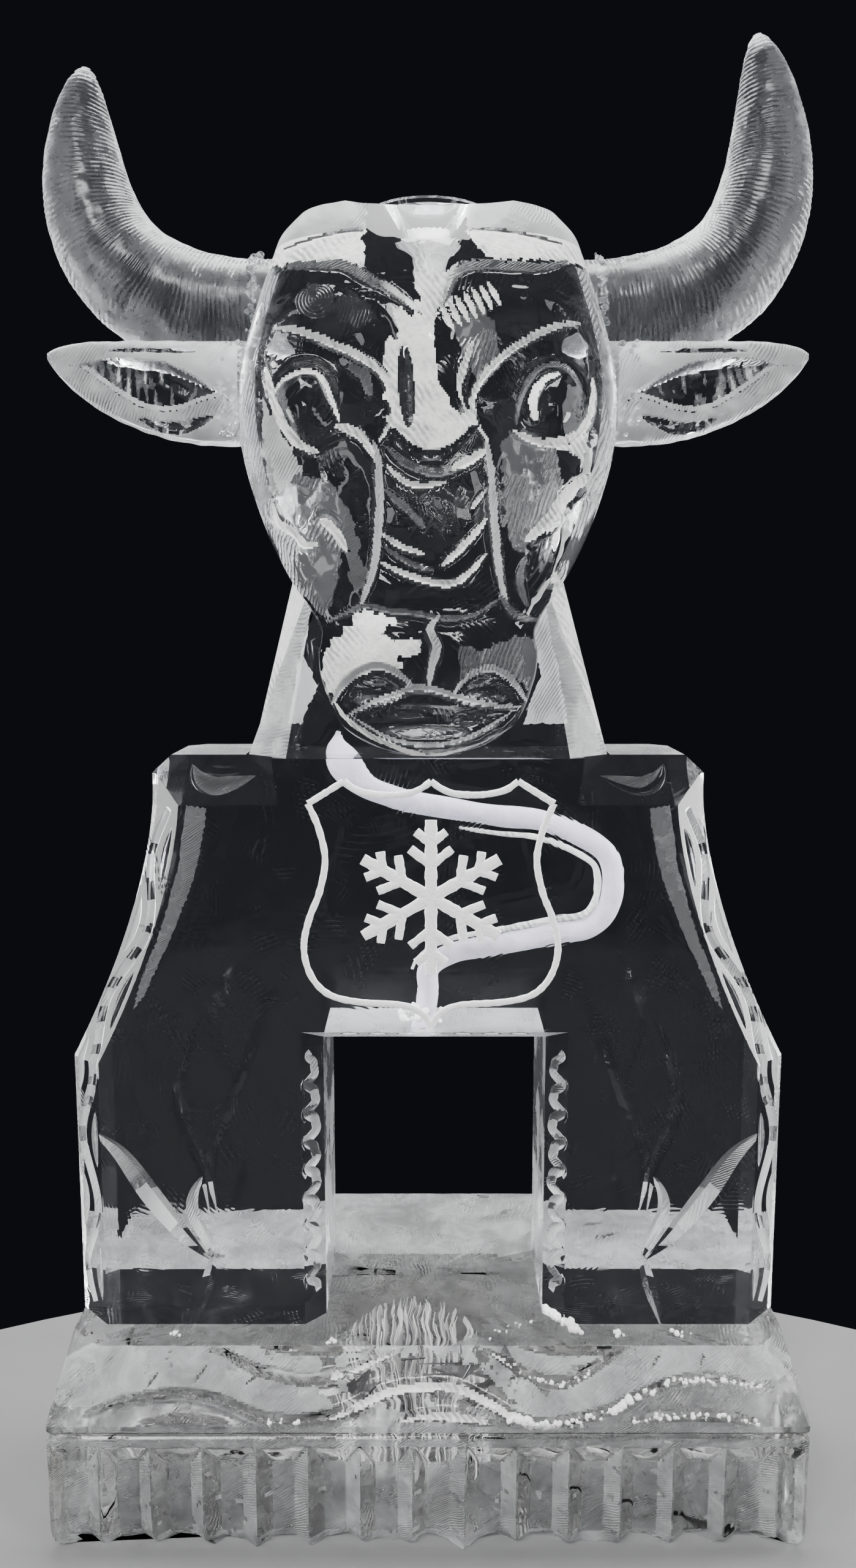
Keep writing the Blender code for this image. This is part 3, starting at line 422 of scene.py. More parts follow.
def plinth_rings():
    """Level rings from the melted foot up, then in over the top; also the levels, flutes and waves."""
    x, y, out_x, out_y, along, length, face, turn = plinth_outline()
    level = np.concatenate([
        [0.6, 2, 4, 7, 10, 14], np.arange(18, 58, 3.2), np.arange(58, 80, 1.3),
        np.arange(80, SLOPE_FOOT, 0.8), np.linspace(SLOPE_FOOT, PLINTH_TOP, 34),
    ])[:, None]
    rise = np.maximum(0, level - SLOPE_FOOT)
    px, py = sawn_walls(x, y, face, turn, rise)
    place = np.stack([px, py, level + 0 * px], -1)
    uneven = ripple(place, 70, 1)
    hips = flute_depth(along + 1.1 * uneven, length, level + 1.5 * ripple(place, 40, 2))
    inset = np.where(level < SLOPE_FOOT - 4, hips, 0)
    inset = inset + np.clip(GROOVE_DEPTH - np.abs(level - GROOVE_LEVEL), 0, None)
    inset = inset + 0.35 * ripple(place, 22, 3) ** 2
    foot = np.clip(1 - level / MELT_TALL, 0, 1) ** 2
    inset = inset + foot * np.maximum(0, MELT_DEEP + MELT_UNEVEN * ripple(place, 34, 4))
    hollow = ripple(place * (1, 1, 0), 46, 5)
    lip = np.clip(1 - level / LIP_TALL, 0, 1) ** 2 * (LIP_RISE + LIP_UNEVEN * hollow)
    climb = rise * math.sqrt(2)
    on_slope = (face == 0) & (turn == 0) & (rise > 0)
    slope_cut = np.where(on_slope, wave_depth(px, climb + 0.6 * uneven), 0) / math.sqrt(2)
    px = px - out_x * inset
    py = py - out_y * inset + slope_cut
    pz = level + lip - slope_cut + 0 * px
    walls = np.stack([px, py, np.maximum(pz, 0)], -1)
    middle = np.array([0, (PLINTH_FRONT + PLINTH_BACK) / 2, 0])
    sole = (walls[0] - middle) * (0.975, 0.95, 0) + middle
    table = []
    for share in TOP_SHARES:
        ring = (walls[-1] - middle) * (share, share, 1) + middle
        ring[:, 2] = PLINTH_TOP - 0.5 * ripple(ring, 30, 6) ** 2
        table.append(ring)
    wave = np.where(on_slope, wave_depth(walls[..., 0], climb), 0)
    return np.concatenate([[sole], walls, table]), level, flute_depth(along, length, level), wave


rings, levels, flutes, waves = plinth_rings()
plinth = skin("ice_plinth", rings)
walls = slice(1, 1 + len(levels))
across, back, up = np.moveaxis(rings, -1, 0)
bruised = ripple(rings, 16, 8) + 0.6 * ripple(rings, 6, 9)
turning, fading, gouged = (np.zeros(across.shape) for _ in range(3))
turning[walls] = np.roll(flutes, -1, axis=1) - flutes
fading[walls] = np.abs(np.diff(flutes, axis=0, append=flutes[-1:]))
gouged[walls] = waves
slope = np.zeros(across.shape, bool)
slope[walls] = (levels > SLOPE_FOOT) & (back[walls] < BACK_OF_SLOPE)
climb = (up - SLOPE_FOOT) * math.sqrt(2)
heart = oval(across, climb, SLOPE_WINDOW, SLOPE_WINDOW_HALF)
# Paints: 0 cloudy, 1 white, 2 clear, 3 pale. A later line goes over the ones before it.
facing = np.zeros(across.shape, int)
# Flute walls are painted by which way they face. The left wall of each flute, seen from outside, is clear
# so that it reads dark, as painted shade. The right wall is pale, as painted light. The sloping hips at the
# flutes' tops are clear, as painted shade.
facing[(turning > 0.2) & (bruised > -1.0)] = 2
facing[(turning < -0.2) & (bruised > -1.0)] = 3
facing[(fading > 0.1) & (bruised < 0.8)] = 2
facing[(up < 9) & (bruised > -0.5)] = 3
facing[bruised > 1.35] = 3
facing[slope & (climb > curve(WAVES[0], across) + 4) & (bruised > -1.2)] = 3
facing[gouged > 0.7] = 2
facing[slope & (heart + 0.3 * bruised < 1)] = 2
facing[(gouged > 1.7) & (np.abs(across - 4) < 62 + 16 * bruised)] = 1
ledge = (up > PLINTH_TOP - 0.8) & ~slope
heart = oval(across, back, LEDGE_WINDOW, LEDGE_WINDOW_HALF)
facing[ledge & ((heart < 1) | (bruised > 0.7))] = 2
facing[ledge & (back > 34 + 6 * bruised)] = 3
facing[np.abs(up - GROOVE_LEVEL) < 2.5] = 2
paint(plinth, (PLINTH_SATIN, WHITE, PLINTH_CLEAR, PLINTH_PALE), facing[:-1].ravel())
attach(plinth, "root")
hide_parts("plinth")

# Cloudy heart
# Trapped air froze into upright white sheets in the middle of the plinth, and a few cracks ran in
# from its front slope. All of it is sealed in the ice.
CLOUD_MIDDLE, CLOUD_HALF, CLOUD_SHEETS = np.array((-11, -40, 26)), np.array((57, 48, 96)), 64
SHEET_LEVELS, SHEET_POINTS, SHEET_WAVER, SHEET_THICK = 9, 6, 2.2, 0.5
CRACKS, CRACK_SIZE, CRACK_THICK = 26, (11, 3, 7), (0.5, 1.2, 0.5)
CRACK_LOW, CRACK_HIGH = (-62, -101, 96), (52, -96, 116)
TRAPPED_AIR = ice("trapped air", (0.95, 0.95, 0.94), 0.6, 0.3, 0.93)[0]
CRACK = ice("crack", (0.40, 0.40, 0.41), 0.1, 0.85, 0.6)[0]


def merge(name, items):
    """One piece made of several lumps or strokes."""
    whole = bmesh.new()
    for item in items:
        whole.from_mesh(item.data)
        bpy.data.objects.remove(item)
    mesh = bpy.data.meshes.new(name)
    whole.to_mesh(mesh)
    whole.free()
    return stand(name, mesh)


dice = np.random.default_rng(90)
sheets = []
for _ in range(CLOUD_SHEETS):
    x = dice.uniform(-0.97, 0.97)
    reach = math.sqrt(1 - x * x)
    spread = np.sort(dice.uniform(-reach, reach, 2))
    rows = []
    for level in np.linspace(0, 1, SHEET_LEVELS):
        half = np.linspace(*spread, SHEET_POINTS) * (1 - 0.5 * level)
        crown = np.sqrt(np.clip(1 - x * x - half ** 2, 0.02, 1))
        line = np.stack([x + 0 * half, half, level * crown], 1) * CLOUD_HALF + CLOUD_MIDDLE
        line[:, 0] += SHEET_WAVER * ripple(line, 30, 91)
        rows.append(np.concatenate([line, line[::-1] + (SHEET_THICK, 0, 0)]))
    sheets.append(skin("sheet", rows))
for _ in range(CRACKS):
    middle = np.array([dice.uniform(*span) for span in zip(CRACK_LOW, CRACK_HIGH)])
    edges = dice.normal(size=(3, 3)) * CRACK_SIZE
    thick = dice.normal(size=3) * CRACK_THICK
    sheets.append(skin("crack", [middle + edges, middle + edges * 0.92 + thick], 5))
cloud = merge("cloudy_heart", sheets)
crack_faces = 5 * CRACKS
faces = np.arange(len(cloud.data.polygons))
paint(cloud, (TRAPPED_AIR, CRACK), faces >= len(faces) - crack_faces)
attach(cloud, "root")

# Shoulder block
# A slab of clear ice stood on the plinth and frozen to it, with an arch sawn through it. Its faces
# are polished flat. Its front edges are chamfered and gouged with a ribbon, leaves and scallops.
low, high = solid_box("shoulder_block")
BLOCK_HALF, BLOCK_FRONT, BLOCK_BACK, BLOCK_FOOT, BLOCK_TOP = high[0], low[1], high[1], PLINTH_TOP, high[2]
BLOCK_BREAK, BLOCK_TOP_HALF, BLOCK_CORNER, FLANK_CURVE = 318, 188, 12, 1.6
EDGE_CHAMFER, REAR_CHAMFER, TOP_CHAMFER = 22, 12, 31
ARCH_HALF, ARCH_MIDDLE, ARCH_TOP, JAMB_CHAMFER, LINTEL_CHAMFER = 77.5, 4.5, 334, 14, 8
NECK_HALF = 123
FUSED, FOOT_GAP = 0.4, 0.3
FLANK_TOP = BLOCK_TOP - 2 * BLOCK_CORNER
OVERCUT, GOUGE_LIFT = 20, 4
RIBBON_MARGIN, RIBBON_PITCH, RIBBON_SWING, LEAF_HALF, LEAF_SLIDE = 11, 100, 6.2, 20, 5.8
JAMB_LOW, JAMB_HIGH, JAMB_PITCH, JAMB_NICK_SLIDE = 148, 326, 20.5, -5.4
TOP_LEAF = ((-6, 2), (8, -2), (22, -4), (33, 1), (38, 9))
BLADE_X, BLADE_Z = 155, 200
# Blades over the foot: half width, the heights between which they are pale, and the line from
# their middle, out and up. A blade is dull over its pale part and clear under it, or clear all over.
BLADES = (
    (5.5, 0, 0, ((-2, 157), (10, 128), (17, 98), (11, 68), (2, 44), (-3, 8))),
    (5.5, 0, 0, ((-36, 132), (-20, 95), (-4, 52), (-8, 10))),
    (4.5, 183, 234, ((-1, 42), (8, 26), (9, 10), (0, -10), (-5, -24))),
    (7.5, 198, 229, ((78, 72), (58, 54), (38, 24), (17, -4), (-2, -24))),
    (4.5, 0, 0, ((-5, -18), (0, -40), (11, -76))),
)
LINTEL_NICKS, NICK_PITCH, NICK_HALF = 7, 19.5, 9.3
# Half width and depth of each kind of stroke
RIBBON_STROKE, LEAF_STROKE, JAMB_STROKE, NICK_STROKE = (5, 4.6), (3.8, 4.2), (3.8, 3.4), (2.4, 2.6)
TOP_LEAF_STROKE, NOTCH_STROKE, LINTEL_STROKE, BLADE_DEPTH = (8, 7), (15, 8), (4, 3), 6


def flank_half(z):
    """Half width of the block at a height: above the break it curves in to a narrower top."""
    share = np.clip((z - BLOCK_BREAK) / (FLANK_TOP - BLOCK_BREAK), 0, 1)
    return BLOCK_TOP_HALF + (BLOCK_HALF - BLOCK_TOP_HALF) * (1 - share) ** FLANK_CURVE


def block_ring(y, inset):
    """Outline of the block, set in for a chamfered edge."""
    flank = [(flank_half(z) - inset, z) for z in np.linspace(BLOCK_BREAK, FLANK_TOP, 28)]
    top = BLOCK_TOP_HALF - inset
    foot, shoulder = (BLOCK_HALF - inset, BLOCK_FOOT + FOOT_GAP), (top, BLOCK_TOP - BLOCK_CORNER)
    right = [foot, *flank, shoulder, (top - BLOCK_CORNER, BLOCK_TOP)]
    outline = right + [(-x, z) for x, z in reversed(right)]
    return [(x, y, z) for x, z in outline]


def bent_tube(name, line, sizes, side, lift=0, sides=12, widest=180):
    """Tube or open gouge cut along a line; sizes are its half width and depth at each point."""
    line, side = np.array(line, float), np.array(side, float)
    run = np.gradient(line, axis=0)
    run /= np.linalg.norm(run, axis=1)[:, None]
    across = np.cross(side, run)
    across /= np.linalg.norm(across, axis=1)[:, None]
    turns = np.radians(np.linspace(-widest, widest, sides, endpoint=widest < 180))
    rings = []
    for centre, over, (wide, deep) in zip(line, across, sizes):
        ring = [centre + over * wide * math.sin(turn) - side * deep * math.cos(turn) for turn in turns]
        if lift:
            ring += [ring[-1] + side * lift, ring[0] + side * lift]
        rings.append(ring)
    return skin(name, rings)


def gouge(name, line, side, half_width, depth, blunt=0.5, sides=9):
    """Cutter of a hollow gouge stroke that runs out at both ends."""
    full = np.sin(np.linspace(0.02, math.pi - 0.02, len(line))) ** blunt
    sizes = [(half_width * share, depth * share) for share in full]
    return bent_tube(name, line, sizes, side, GOUGE_LIFT, sides, 90)


def face_heights(item):
    """Height of the middle of each face, in millimetres."""
    return np.array([face.center.z for face in item.data.polygons]) / MM


def flank_point(side, z, slide):
    """Point of a flank's front chamfer at a height, slid across the chamfer."""
    x = flank_half(z) - EDGE_CHAMFER / 2 + slide
    return side * x, BLOCK_FRONT + EDGE_CHAMFER / 2 + slide, z


def satin_ice():
    """Chiselled ice that has gone dull: light passes, but nothing is seen sharply through it."""
    material, tree, shader = ice("satin ice", (0.90, 0.91, 0.91), 0.3, 0.9, 0.2)
    marks = use_group(tree, FILE_MARKS, Pitch=260, Depth=0.35, Tilt=0.5)
    wet = use_group(tree, MELT, Size=90, Depth=1.0)
    roughen(tree, shader, marks["Mask"], 0, 1, 0.22, 0.45)
    bump(tree, shader, 0.0016, marks["Height"], wet["Height"])
    return material


def swirl_group():
    """Faint arcs that a turning polishing pad leaves, in overlapping rounds."""
    group, given, result = new_group("Swirls", (("Size", 11), ("Depth", 1)), ("Height",))
    place = node(group, "TexCoord").outputs["Object"]
    total = 0
    for shift in (0.0, 0.37):
        moved = node(group, "VectorMath", {"operation": "ADD"}, _0=place, _1=(shift, shift, shift))
        rounds = node(group, "TexVoronoi", Vector=moved.outputs[0], Scale=given["Size"])
        wave = node(group, "Math", {"operation": "SINE"}, _0=times(group, rounds.outputs["Distance"], 420))
        breaks = node(group, "TexNoise", Vector=moved.outputs[0], Scale=30, Detail=3)
        kept = node(group, "MapRange", Value=breaks.outputs[0], _1=0.53, _2=0.68)
        part = times(group, wave.outputs[0], kept.outputs[0])
        total = node(group, "Math", {"operation": "ADD"}, _0=total, _1=part).outputs[0]
    group.links.new(times(group, total, given["Depth"]), result["Height"])
    return group


def clear_ice():
    """Wet clear ice with a faint veil, and hair scratches that catch the light."""
    material, tree, shader = ice("clear ice", (0.97, 0.98, 0.985), 0.02, 0.99, 0.8)
    swirls = use_group(tree, swirl_group(), Size=5, Depth=0.04)
    wet = use_group(tree, MELT, Size=14, Depth=0.4)
    roughen(tree, shader, swirls["Height"], 0.008, 0.035, 0.02, 0.3)
    bump(tree, shader, 0.001, swirls["Height"], wet["Height"])
    return material


def pale_ice():
    """Ice planed with a coarse blade: dull, and a little milky. On the ribbon and leaves of the flanks, the
    upper walls of cuts in the face and the edges of the horns, it is laid as painted light.
    """
    material, tree, shader = ice("pale ice and painted light", (0.90, 0.91, 0.91), 0.5, 0.62, 0.25)
    marks = use_group(tree, FILE_MARKS, Pitch=150, Depth=0.5, Tilt=1.1)
    wet = use_group(tree, MELT, Size=60, Depth=0.8)
    bump(tree, shader, 0.0016, marks["Height"], wet["Height"])
    return material


CLEAR, SATIN, PALE = clear_ice(), satin_ice(), pale_ice()
BLOCK_PAINTS = (CLEAR, SATIN, PALE)


def cutter(tool, choice=0):
    """Tool that leaves the ice it cuts clear (0), dull (1) or pale (2)."""
    paint(tool, BLOCK_PAINTS, choice)
    return tool


def arch_cutter():
    """Saw cut of the arch, which widens at the front to chamfered jambs and lintel."""
    rings = []
    for y in (BLOCK_FRONT - OVERCUT, BLOCK_FRONT + JAMB_CHAMFER, BLOCK_BACK + OVERCUT):
        widen = max(0, BLOCK_FRONT + JAMB_CHAMFER - y)
        half, top = ARCH_HALF + widen, ARCH_TOP + widen * LINTEL_CHAMFER / JAMB_CHAMFER
        corners = ((-half, 100), (half, 100), (half, top), (-half, top))
        rings.append([(ARCH_MIDDLE + x, y, z) for x, z in corners])
    return cutter(skin("arch", rings), (0, 0, 2, 0, 1, 1, 2, 1))


def top_slope(side):
    """Saw cut of the broad chamfer beside the neck."""
    rings = []
    for x, lean in ((NECK_HALF - TOP_CHAMFER / 2, TOP_CHAMFER / 3), (BLOCK_HALF + OVERCUT, 0)):
        rings.append([
            (side * (x - lean), BLOCK_FRONT - OVERCUT, BLOCK_TOP - TOP_CHAMFER - OVERCUT),
            (side * x, BLOCK_FRONT + TOP_CHAMFER + OVERCUT, BLOCK_TOP + OVERCUT),
            (side * x, BLOCK_FRONT - OVERCUT, BLOCK_TOP + OVERCUT),
        ])
    return cutter(skin("top slope", rings))


def ribbon_cutters(side):
    """Ribbon that winds up the flank's chamfer, with a leaf in each of its bends."""
    outward = np.array([side, -1, 0]) / math.sqrt(2)
    low, high = BLOCK_FOOT + RIBBON_MARGIN, FLANK_TOP - RIBBON_MARGIN
    heights = np.linspace(low, high, 150)
    swing = RIBBON_SWING * np.sin(2 * np.pi * (heights - low) / RIBBON_PITCH)
    line = [flank_point(side, z, slide) for z, slide in zip(heights, swing)]
    ribbon = gouge("ribbon", line, outward, *RIBBON_STROKE, 0.12)
    # Pale paint along most of the ribbon, with clear gaps, stands for the bright reflections on its
    # polished cut: painted highlight.
    tools = [cutter(ribbon, np.where(ripple(face_heights(ribbon)[:, None], 30, 29) > -0.25, 2, 0))]
    for i in range(int(2 * (high - low) / RIBBON_PITCH)):
        middle = low + (i + 0.5) * RIBBON_PITCH / 2
        heights = np.linspace(middle - LEAF_HALF, middle + LEAF_HALF, 15)
        bow = 1.25 - 0.35 * np.cos((heights - middle) / LEAF_HALF * np.pi / 2)
        slide = LEAF_SLIDE * (1 if i % 2 else -1) * bow
        leaf = [flank_point(side, z, shift) for z, shift in zip(heights, slide)]
        # Every other leaf is painted pale for the bright reflections on its polished cut, as painted
        # highlight; the rest stay clear.
        tools.append(cutter(gouge("leaf", leaf, outward, *LEAF_STROKE, 0.7), 2 * (i % 2)))
    return tools


def jamb_point(side, z, slide):
    """Point of a jamb's chamfer at a height, slid across the chamfer."""
    x = ARCH_MIDDLE + side * (ARCH_HALF + JAMB_CHAMFER / 2)
    return x - side * slide, BLOCK_FRONT + JAMB_CHAMFER / 2 + slide, z


def jamb_cutters(side):
    """Waves down the jamb's chamfer, with a small nick at each."""
    inward = np.array([-side, -1, 0]) / math.sqrt(2)
    heights = np.linspace(JAMB_LOW, JAMB_HIGH, 180)
    turns = 2 * np.pi * heights / JAMB_PITCH
    swing = 2.4 * np.sin(turns) + 0.9 * np.sin(2 * turns + 1)
    swing += 0.5 * ripple(heights[:, None], 30, 27 + side)
    line = [jamb_point(side, z, slide) for z, slide in zip(heights, swing)]
    wave = gouge("jamb wave", line, inward, *JAMB_STROKE, 0.12)
    tools = [cutter(wave, np.where(ripple(face_heights(wave)[:, None], 24, 28 + side) > -0.2, 2, 1))]
    for crest in range(8, 16):
        middle = JAMB_PITCH * crest - 5
        nick = [jamb_point(side, middle + 6 * share, JAMB_NICK_SLIDE) for share in np.linspace(-1, 1, 9)]
        tools.append(cutter(gouge("jamb nick", nick, inward, *NICK_STROKE, 0.8)))
    return tools


def top_cutters(side):
    """A leaf gouged across the chamfer beside the neck, and the shallow saw cut of the block's top."""
    middle = TOP_CHAMFER / 2
    leaf = gouge("top leaf", [
        (side * (NECK_HALF + across), BLOCK_FRONT + middle + up, BLOCK_TOP - middle + up)
        for across, up in smooth_line(TOP_LEAF, 24)
    ], (0, -0.7, 0.7), *TOP_LEAF_STROKE, 0.9)
    faces = np.arange(len(leaf.data.polygons))
    half_dull = (faces % 11 > 4) == (side > 0)
    corners = ((-90, -0.5), (90, -0.5), (90, 9), (-90, 9))
    saw = [[(side * x, y, BLOCK_TOP + z) for y, z in corners] for x in (NECK_HALF + 2, BLOCK_HALF)]
    return [cutter(leaf, half_dull), cutter(skin("saw", saw), 2)]


def blade_cutters(side):
    """Long pointed strokes of a V tool over the foot of the block, and one notch beside the neck."""
    tools = []
    for wide, pale_low, pale_high, blade in BLADES:
        line = [(side * (BLADE_X + x), BLOCK_FRONT, BLADE_Z + z) for x, z in smooth_line(blade, 28)]
        tool = gouge("blade", line, (0, -1, 0), wide, BLADE_DEPTH, 0.9, sides=3)
        levels = face_heights(tool)
        pale = (levels > pale_low) & (levels < pale_high)
        dull = (levels >= pale_high) & (pale_high > 0)
        tools.append(cutter(tool, 2 * pale + dull))
    line = [(side * (NECK_HALF - 15), BLOCK_FRONT, BLOCK_TOP + up) for up in (26, 0, -26)]
    return tools + [cutter(gouge("notch", line, (0, -1, 0), *NOTCH_STROKE, 1, sides=3))]


def lintel_cutters():
    """Row of scallops along the chamfer of the lintel."""
    tools = []
    for i in range(LINTEL_NICKS):
        x = ARCH_MIDDLE + (i - LINTEL_NICKS // 2) * NICK_PITCH
        shifts = np.linspace(-NICK_HALF, NICK_HALF, 9)
        nick = [(x + shift, BLOCK_FRONT + 4, ARCH_TOP + 4) for shift in shifts]
        tools.append(cutter(gouge("lintel nick", nick, (0, -0.7, -0.7), *LINTEL_STROKE, 0.8)))
    return tools


def shoulder_cutters():
    """Every saw cut and stroke of the shoulder block."""
    tools = [arch_cutter()]
    for side in (-1, 1):
        tools += [top_slope(side), *ribbon_cutters(side), *jamb_cutters(side)]
        tools += [*top_cutters(side), *blade_cutters(side)]
    return tools + lintel_cutters()


# Angle between two faces of a cut, in degrees, over which their edge stays sharp
CUT_EDGE = 30


def carve(item, tools, operation="DIFFERENCE", solver="EXACT"):
    """Cut tools from a piece, or join them to it, for good, and put the tools away."""
    group = bpy.data.collections.new("tools")
    for tool in tools:
        group.objects.link(tool)
    change = item.modifiers.new("carving", "BOOLEAN")
    change.operation = operation
    change.operand_type = "COLLECTION"
    change.collection = group
    change.solver = solver
    done = bpy.data.meshes.new_from_object(item.evaluated_get(bpy.context.evaluated_depsgraph_get()))
    item.modifiers.clear()
    done.shade_smooth()
    done.set_sharp_from_angle(angle=math.radians(CUT_EDGE))
    item.data = done
    for tool in tools:
        bpy.data.objects.remove(tool)
    bpy.data.collections.remove(group)


block = skin("ice_shoulder_block", [
    block_ring(BLOCK_FRONT, EDGE_CHAMFER), block_ring(BLOCK_FRONT + EDGE_CHAMFER, 0),
    block_ring(BLOCK_BACK - REAR_CHAMFER, 0), block_ring(BLOCK_BACK, REAR_CHAMFER),
][::-1], 12)
dull = [abs(face.normal.x) > 0.9 and face.center.z < BLOCK_BREAK * MM for face in block.data.polygons]
paint(block, BLOCK_PAINTS, np.array(dull, int))
carve(block, shoulder_cutters())
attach(block, "root")
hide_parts("shoulder_block")

# Frosted edges
# Frost that a file left dull on the upper front edges of the shoulder block, a tenth of a
# millimetre proud, with ragged borders.
FROST_STRIP = (
    (-161, 499), (-148, 497), (-149, 484), (-153, 466), (-158, 447), (-165, 429), (-177, 401), (-187, 380),
    (-195, 365), (-201, 358), (-198, 370), (-189, 393), (-185, 401), (-178, 424), (-171, 445), (-167, 460),
)


def frost_sheet(outline, side, front):
    """Thin sheet of frost with a ragged edge, lying in a flat front face."""
    outline = np.array(outline + outline[:1], float)
    points = np.concatenate([np.linspace(a, b, 12, endpoint=False) for a, b in zip(outline, outline[1:])])
    points += 0.9 * np.stack([ripple(points, 5, 25), ripple(points, 4, 26)], 1)
    face = np.stack([-side * points[:, 0], 0 * points[:, 0], points[:, 1]], 1)
    return skin("frost", [face + (0, front + 0.4, 0), face + (0, front - 0.1, 0)])


frost = merge("frosted_edges", [frost_sheet(FROST_STRIP, side, BLOCK_FRONT) for side in (-1, 1)])
paint(frost, (SATIN,))
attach(frost, "root")

# Drink channel
# A bore of 16 mm that was melted through the block with a hot rod, with a dull milky wall, and a thin
# white strip beside part of it. It winds down from a scoop under the chin to a small pointed spout.
CHANNEL_DEPTH = -20
CHANNEL = (
    (-62, 545), (-62, 533), (-56, 520), (-43, 507), (-26, 500), (-12, 496), (17, 491), (49, 486), (78, 483),
    (105, 473), (125, 459), (130, 439), (126, 419), (113, 406), (90, 402), (66, 397), (44, 393), (18, 388),
    (1, 377), (0, 361), (-2, 344), (-4, 333),
)
CHANNEL_STEPS, BORE_RADIUS = 150, 7.6
# The white strip: the stretch of the channel that it goes beside, and how far in and in front
RUN_START, RUN_END, RUN_INWARD, RUN_FORWARD, RUN_RADIUS = 44, 130, 11.5, 6, 2.5
SPOUT = ((ARCH_TOP + 1, 5.0), (ARCH_TOP - 2, 4.2), (ARCH_TOP - 8, 0.6))


def milky_wall():
    """Wall of the bore, milky with fine cracks from the hot rod."""
    material, tree, shader = ice("milky bore", (0.80, 0.78, 0.86), 0.5, 0.3, 0.6)
    grain = use_group(tree, GRAIN, Scale=120, Detail=4)
    tint(tree, shader, grain["Value"], (0, (0.62, 0.60, 0.70)), (1, (0.92, 0.90, 0.95)))
    bump(tree, shader, 0.001, grain["Value"])
    return material


def upright(line, y):
    """Points across and up, stood in an upright plane at y."""
    return np.stack([line[:, 0], np.full(len(line), y), line[:, 1]], 1)


def circle(radius, middle, z, sides):
    """Level ring of points round a middle."""
    turns = np.linspace(0, 2 * np.pi, sides, endpoint=False)
    x, y = middle[0] + radius * np.cos(turns), middle[1] + radius * np.sin(turns)
    return np.stack([x, y, z + 0 * turns], 1)


line = upright(smooth_line(CHANNEL, CHANNEL_STEPS), CHANNEL_DEPTH)
start = np.arange(CHANNEL_STEPS) / CHANNEL_STEPS
# The bore starts at a point and widens to a scoop just behind it
scoop = 4 * np.exp(-((start - 0.09) / 0.05) ** 2) - 6 * np.exp(-((start / 0.03) ** 2))
bore = BORE_RADIUS + 0.4 * ripple(line, 22, 21) + scoop
channel = bent_tube("drink_channel", line, np.stack([bore, bore], 1), (0, -1, 0), sides=24)
paint(channel, (milky_wall(),))
run = np.gradient(line, axis=0)
inward = np.stack([run[:, 2], 0 * line[:, 1], -run[:, 0]], 1) / np.linalg.norm(run, axis=1)[:, None]
beside = (line + RUN_INWARD * inward - (0, RUN_FORWARD, 0))[RUN_START:RUN_END]
full = np.sin(np.linspace(0.05, math.pi - 0.05, len(beside))) ** 0.3
rim = RUN_RADIUS * full + 0.3 * ripple(beside, 12, 22)
beside_strip = bent_tube("channel_strip", beside, np.stack([rim, 0.6 * rim], 1), (0, -1, 0))
paint(beside_strip, (WHITE,))
spout_middle = (CHANNEL[-1][0], CHANNEL_DEPTH - 4)
spout = skin("spout_tip", [circle(radius, spout_middle, z, 6) for z, radius in SPOUT], 5)
paint(spout, (SATIN,))
for item in (channel, beside_strip, spout):
    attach(item, "root")

# Engraved shield
# A shield with a frost star was routed 3 mm deep in the front of the block, and the lines were packed
# with snow, scraped off flush.
SHIELD = (
    (-80, 500), (-73, 483), (-69, 462), (-73, 440), (-80, 422), (-84, 404), (-82, 388), (-75, 375),
    (-64, 367), (-45, 363), (-17, 361), (-4, 355), (2, 346),
)
SHIELD_CORNER = ((-80, 500), (-56, 515))
SHIELD_TOP = ((-56, 515), (-47, 509), (-32, 506), (-15, 506.5), (-5, 510), (2, 515))
STAR_MIDDLE, STAR_REACH = np.array((2.0, 436.0)), 53
SHIELD_LINE, ARM_WIDTH, TWIG_WIDTH = 4.6, 8.5, 6.2
# Twigs of each arm: how far out they start, and how long they are
TWIGS = ((0.42, 18), (0.70, 13))


def packed_snow():
    """Snow scraped flush: white, coarse, and with no gloss."""
    material, tree, shader = ice("packed snow", (0.95, 0.95, 0.94), 0.9, 0.0, 0.2)
    shader.inputs["Specular IOR Level"].default_value = 0.2
    grain = use_group(tree, GRAIN, Scale=420, Detail=5, Roughness=0.7)
    bump(tree, shader, 0.0012, grain["Value"])
    return material


SNOW = packed_snow()


def snow_line(points, width, seed):
    """Strip of packed snow with a crumbly edge, lying in the front face."""
    line = upright(smooth_line(points, 14 * len(points)), BLOCK_FRONT + 0.6)
    wide = width / 2 * (1 + 0.10 * ripple(line, 5, seed))
    return bent_tube("snow line", line, np.stack([wide, 0 * wide + 1.1], 1), (0, -1, 0), sides=14)


def mirrored(points):
    """The same points on the other side of the shield's middle."""
    return [(2 * STAR_MIDDLE[0] - x, z) for x, z in points]


strips = []
for half in (SHIELD, SHIELD_CORNER, SHIELD_TOP):
    for points in (half, mirrored(half)):
        strips.append(snow_line(points, SHIELD_LINE, len(strips)))
for arm in range(6):
    turn = math.radians(60 * arm + 30)
    out, over = np.array((math.cos(turn), math.sin(turn))), np.array((-math.sin(turn), math.cos(turn)))
    strips.append(snow_line((STAR_MIDDLE, STAR_MIDDLE + out * STAR_REACH), ARM_WIDTH, arm))
    for share, length in TWIGS:
        root = STAR_MIDDLE + out * STAR_REACH * share
        for way in (-1, 1):
            end = root + (out * 0.62 + over * 0.78 * way) * length
            strips.append(snow_line((root, end), TWIG_WIDTH, len(strips)))
engraving = merge("packed_snow", strips)
paint(engraving, (SNOW,))
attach(engraving, "root")

# Head and neck
# One block of clear ice, carved with a chisel and a die grinder: a bull's face over a sawn neck. A
# pouring bowl is turned into the crown, and a dull funnel leads down from it behind the forehead.
low, high = solid_box("head")
HEAD_SEAM, HEAD_TALL, HEAD_HALF, HEAD_REACH, HEAD_BACK = BLOCK_TOP + 0.3, 355, 128, -low[1], high[1]
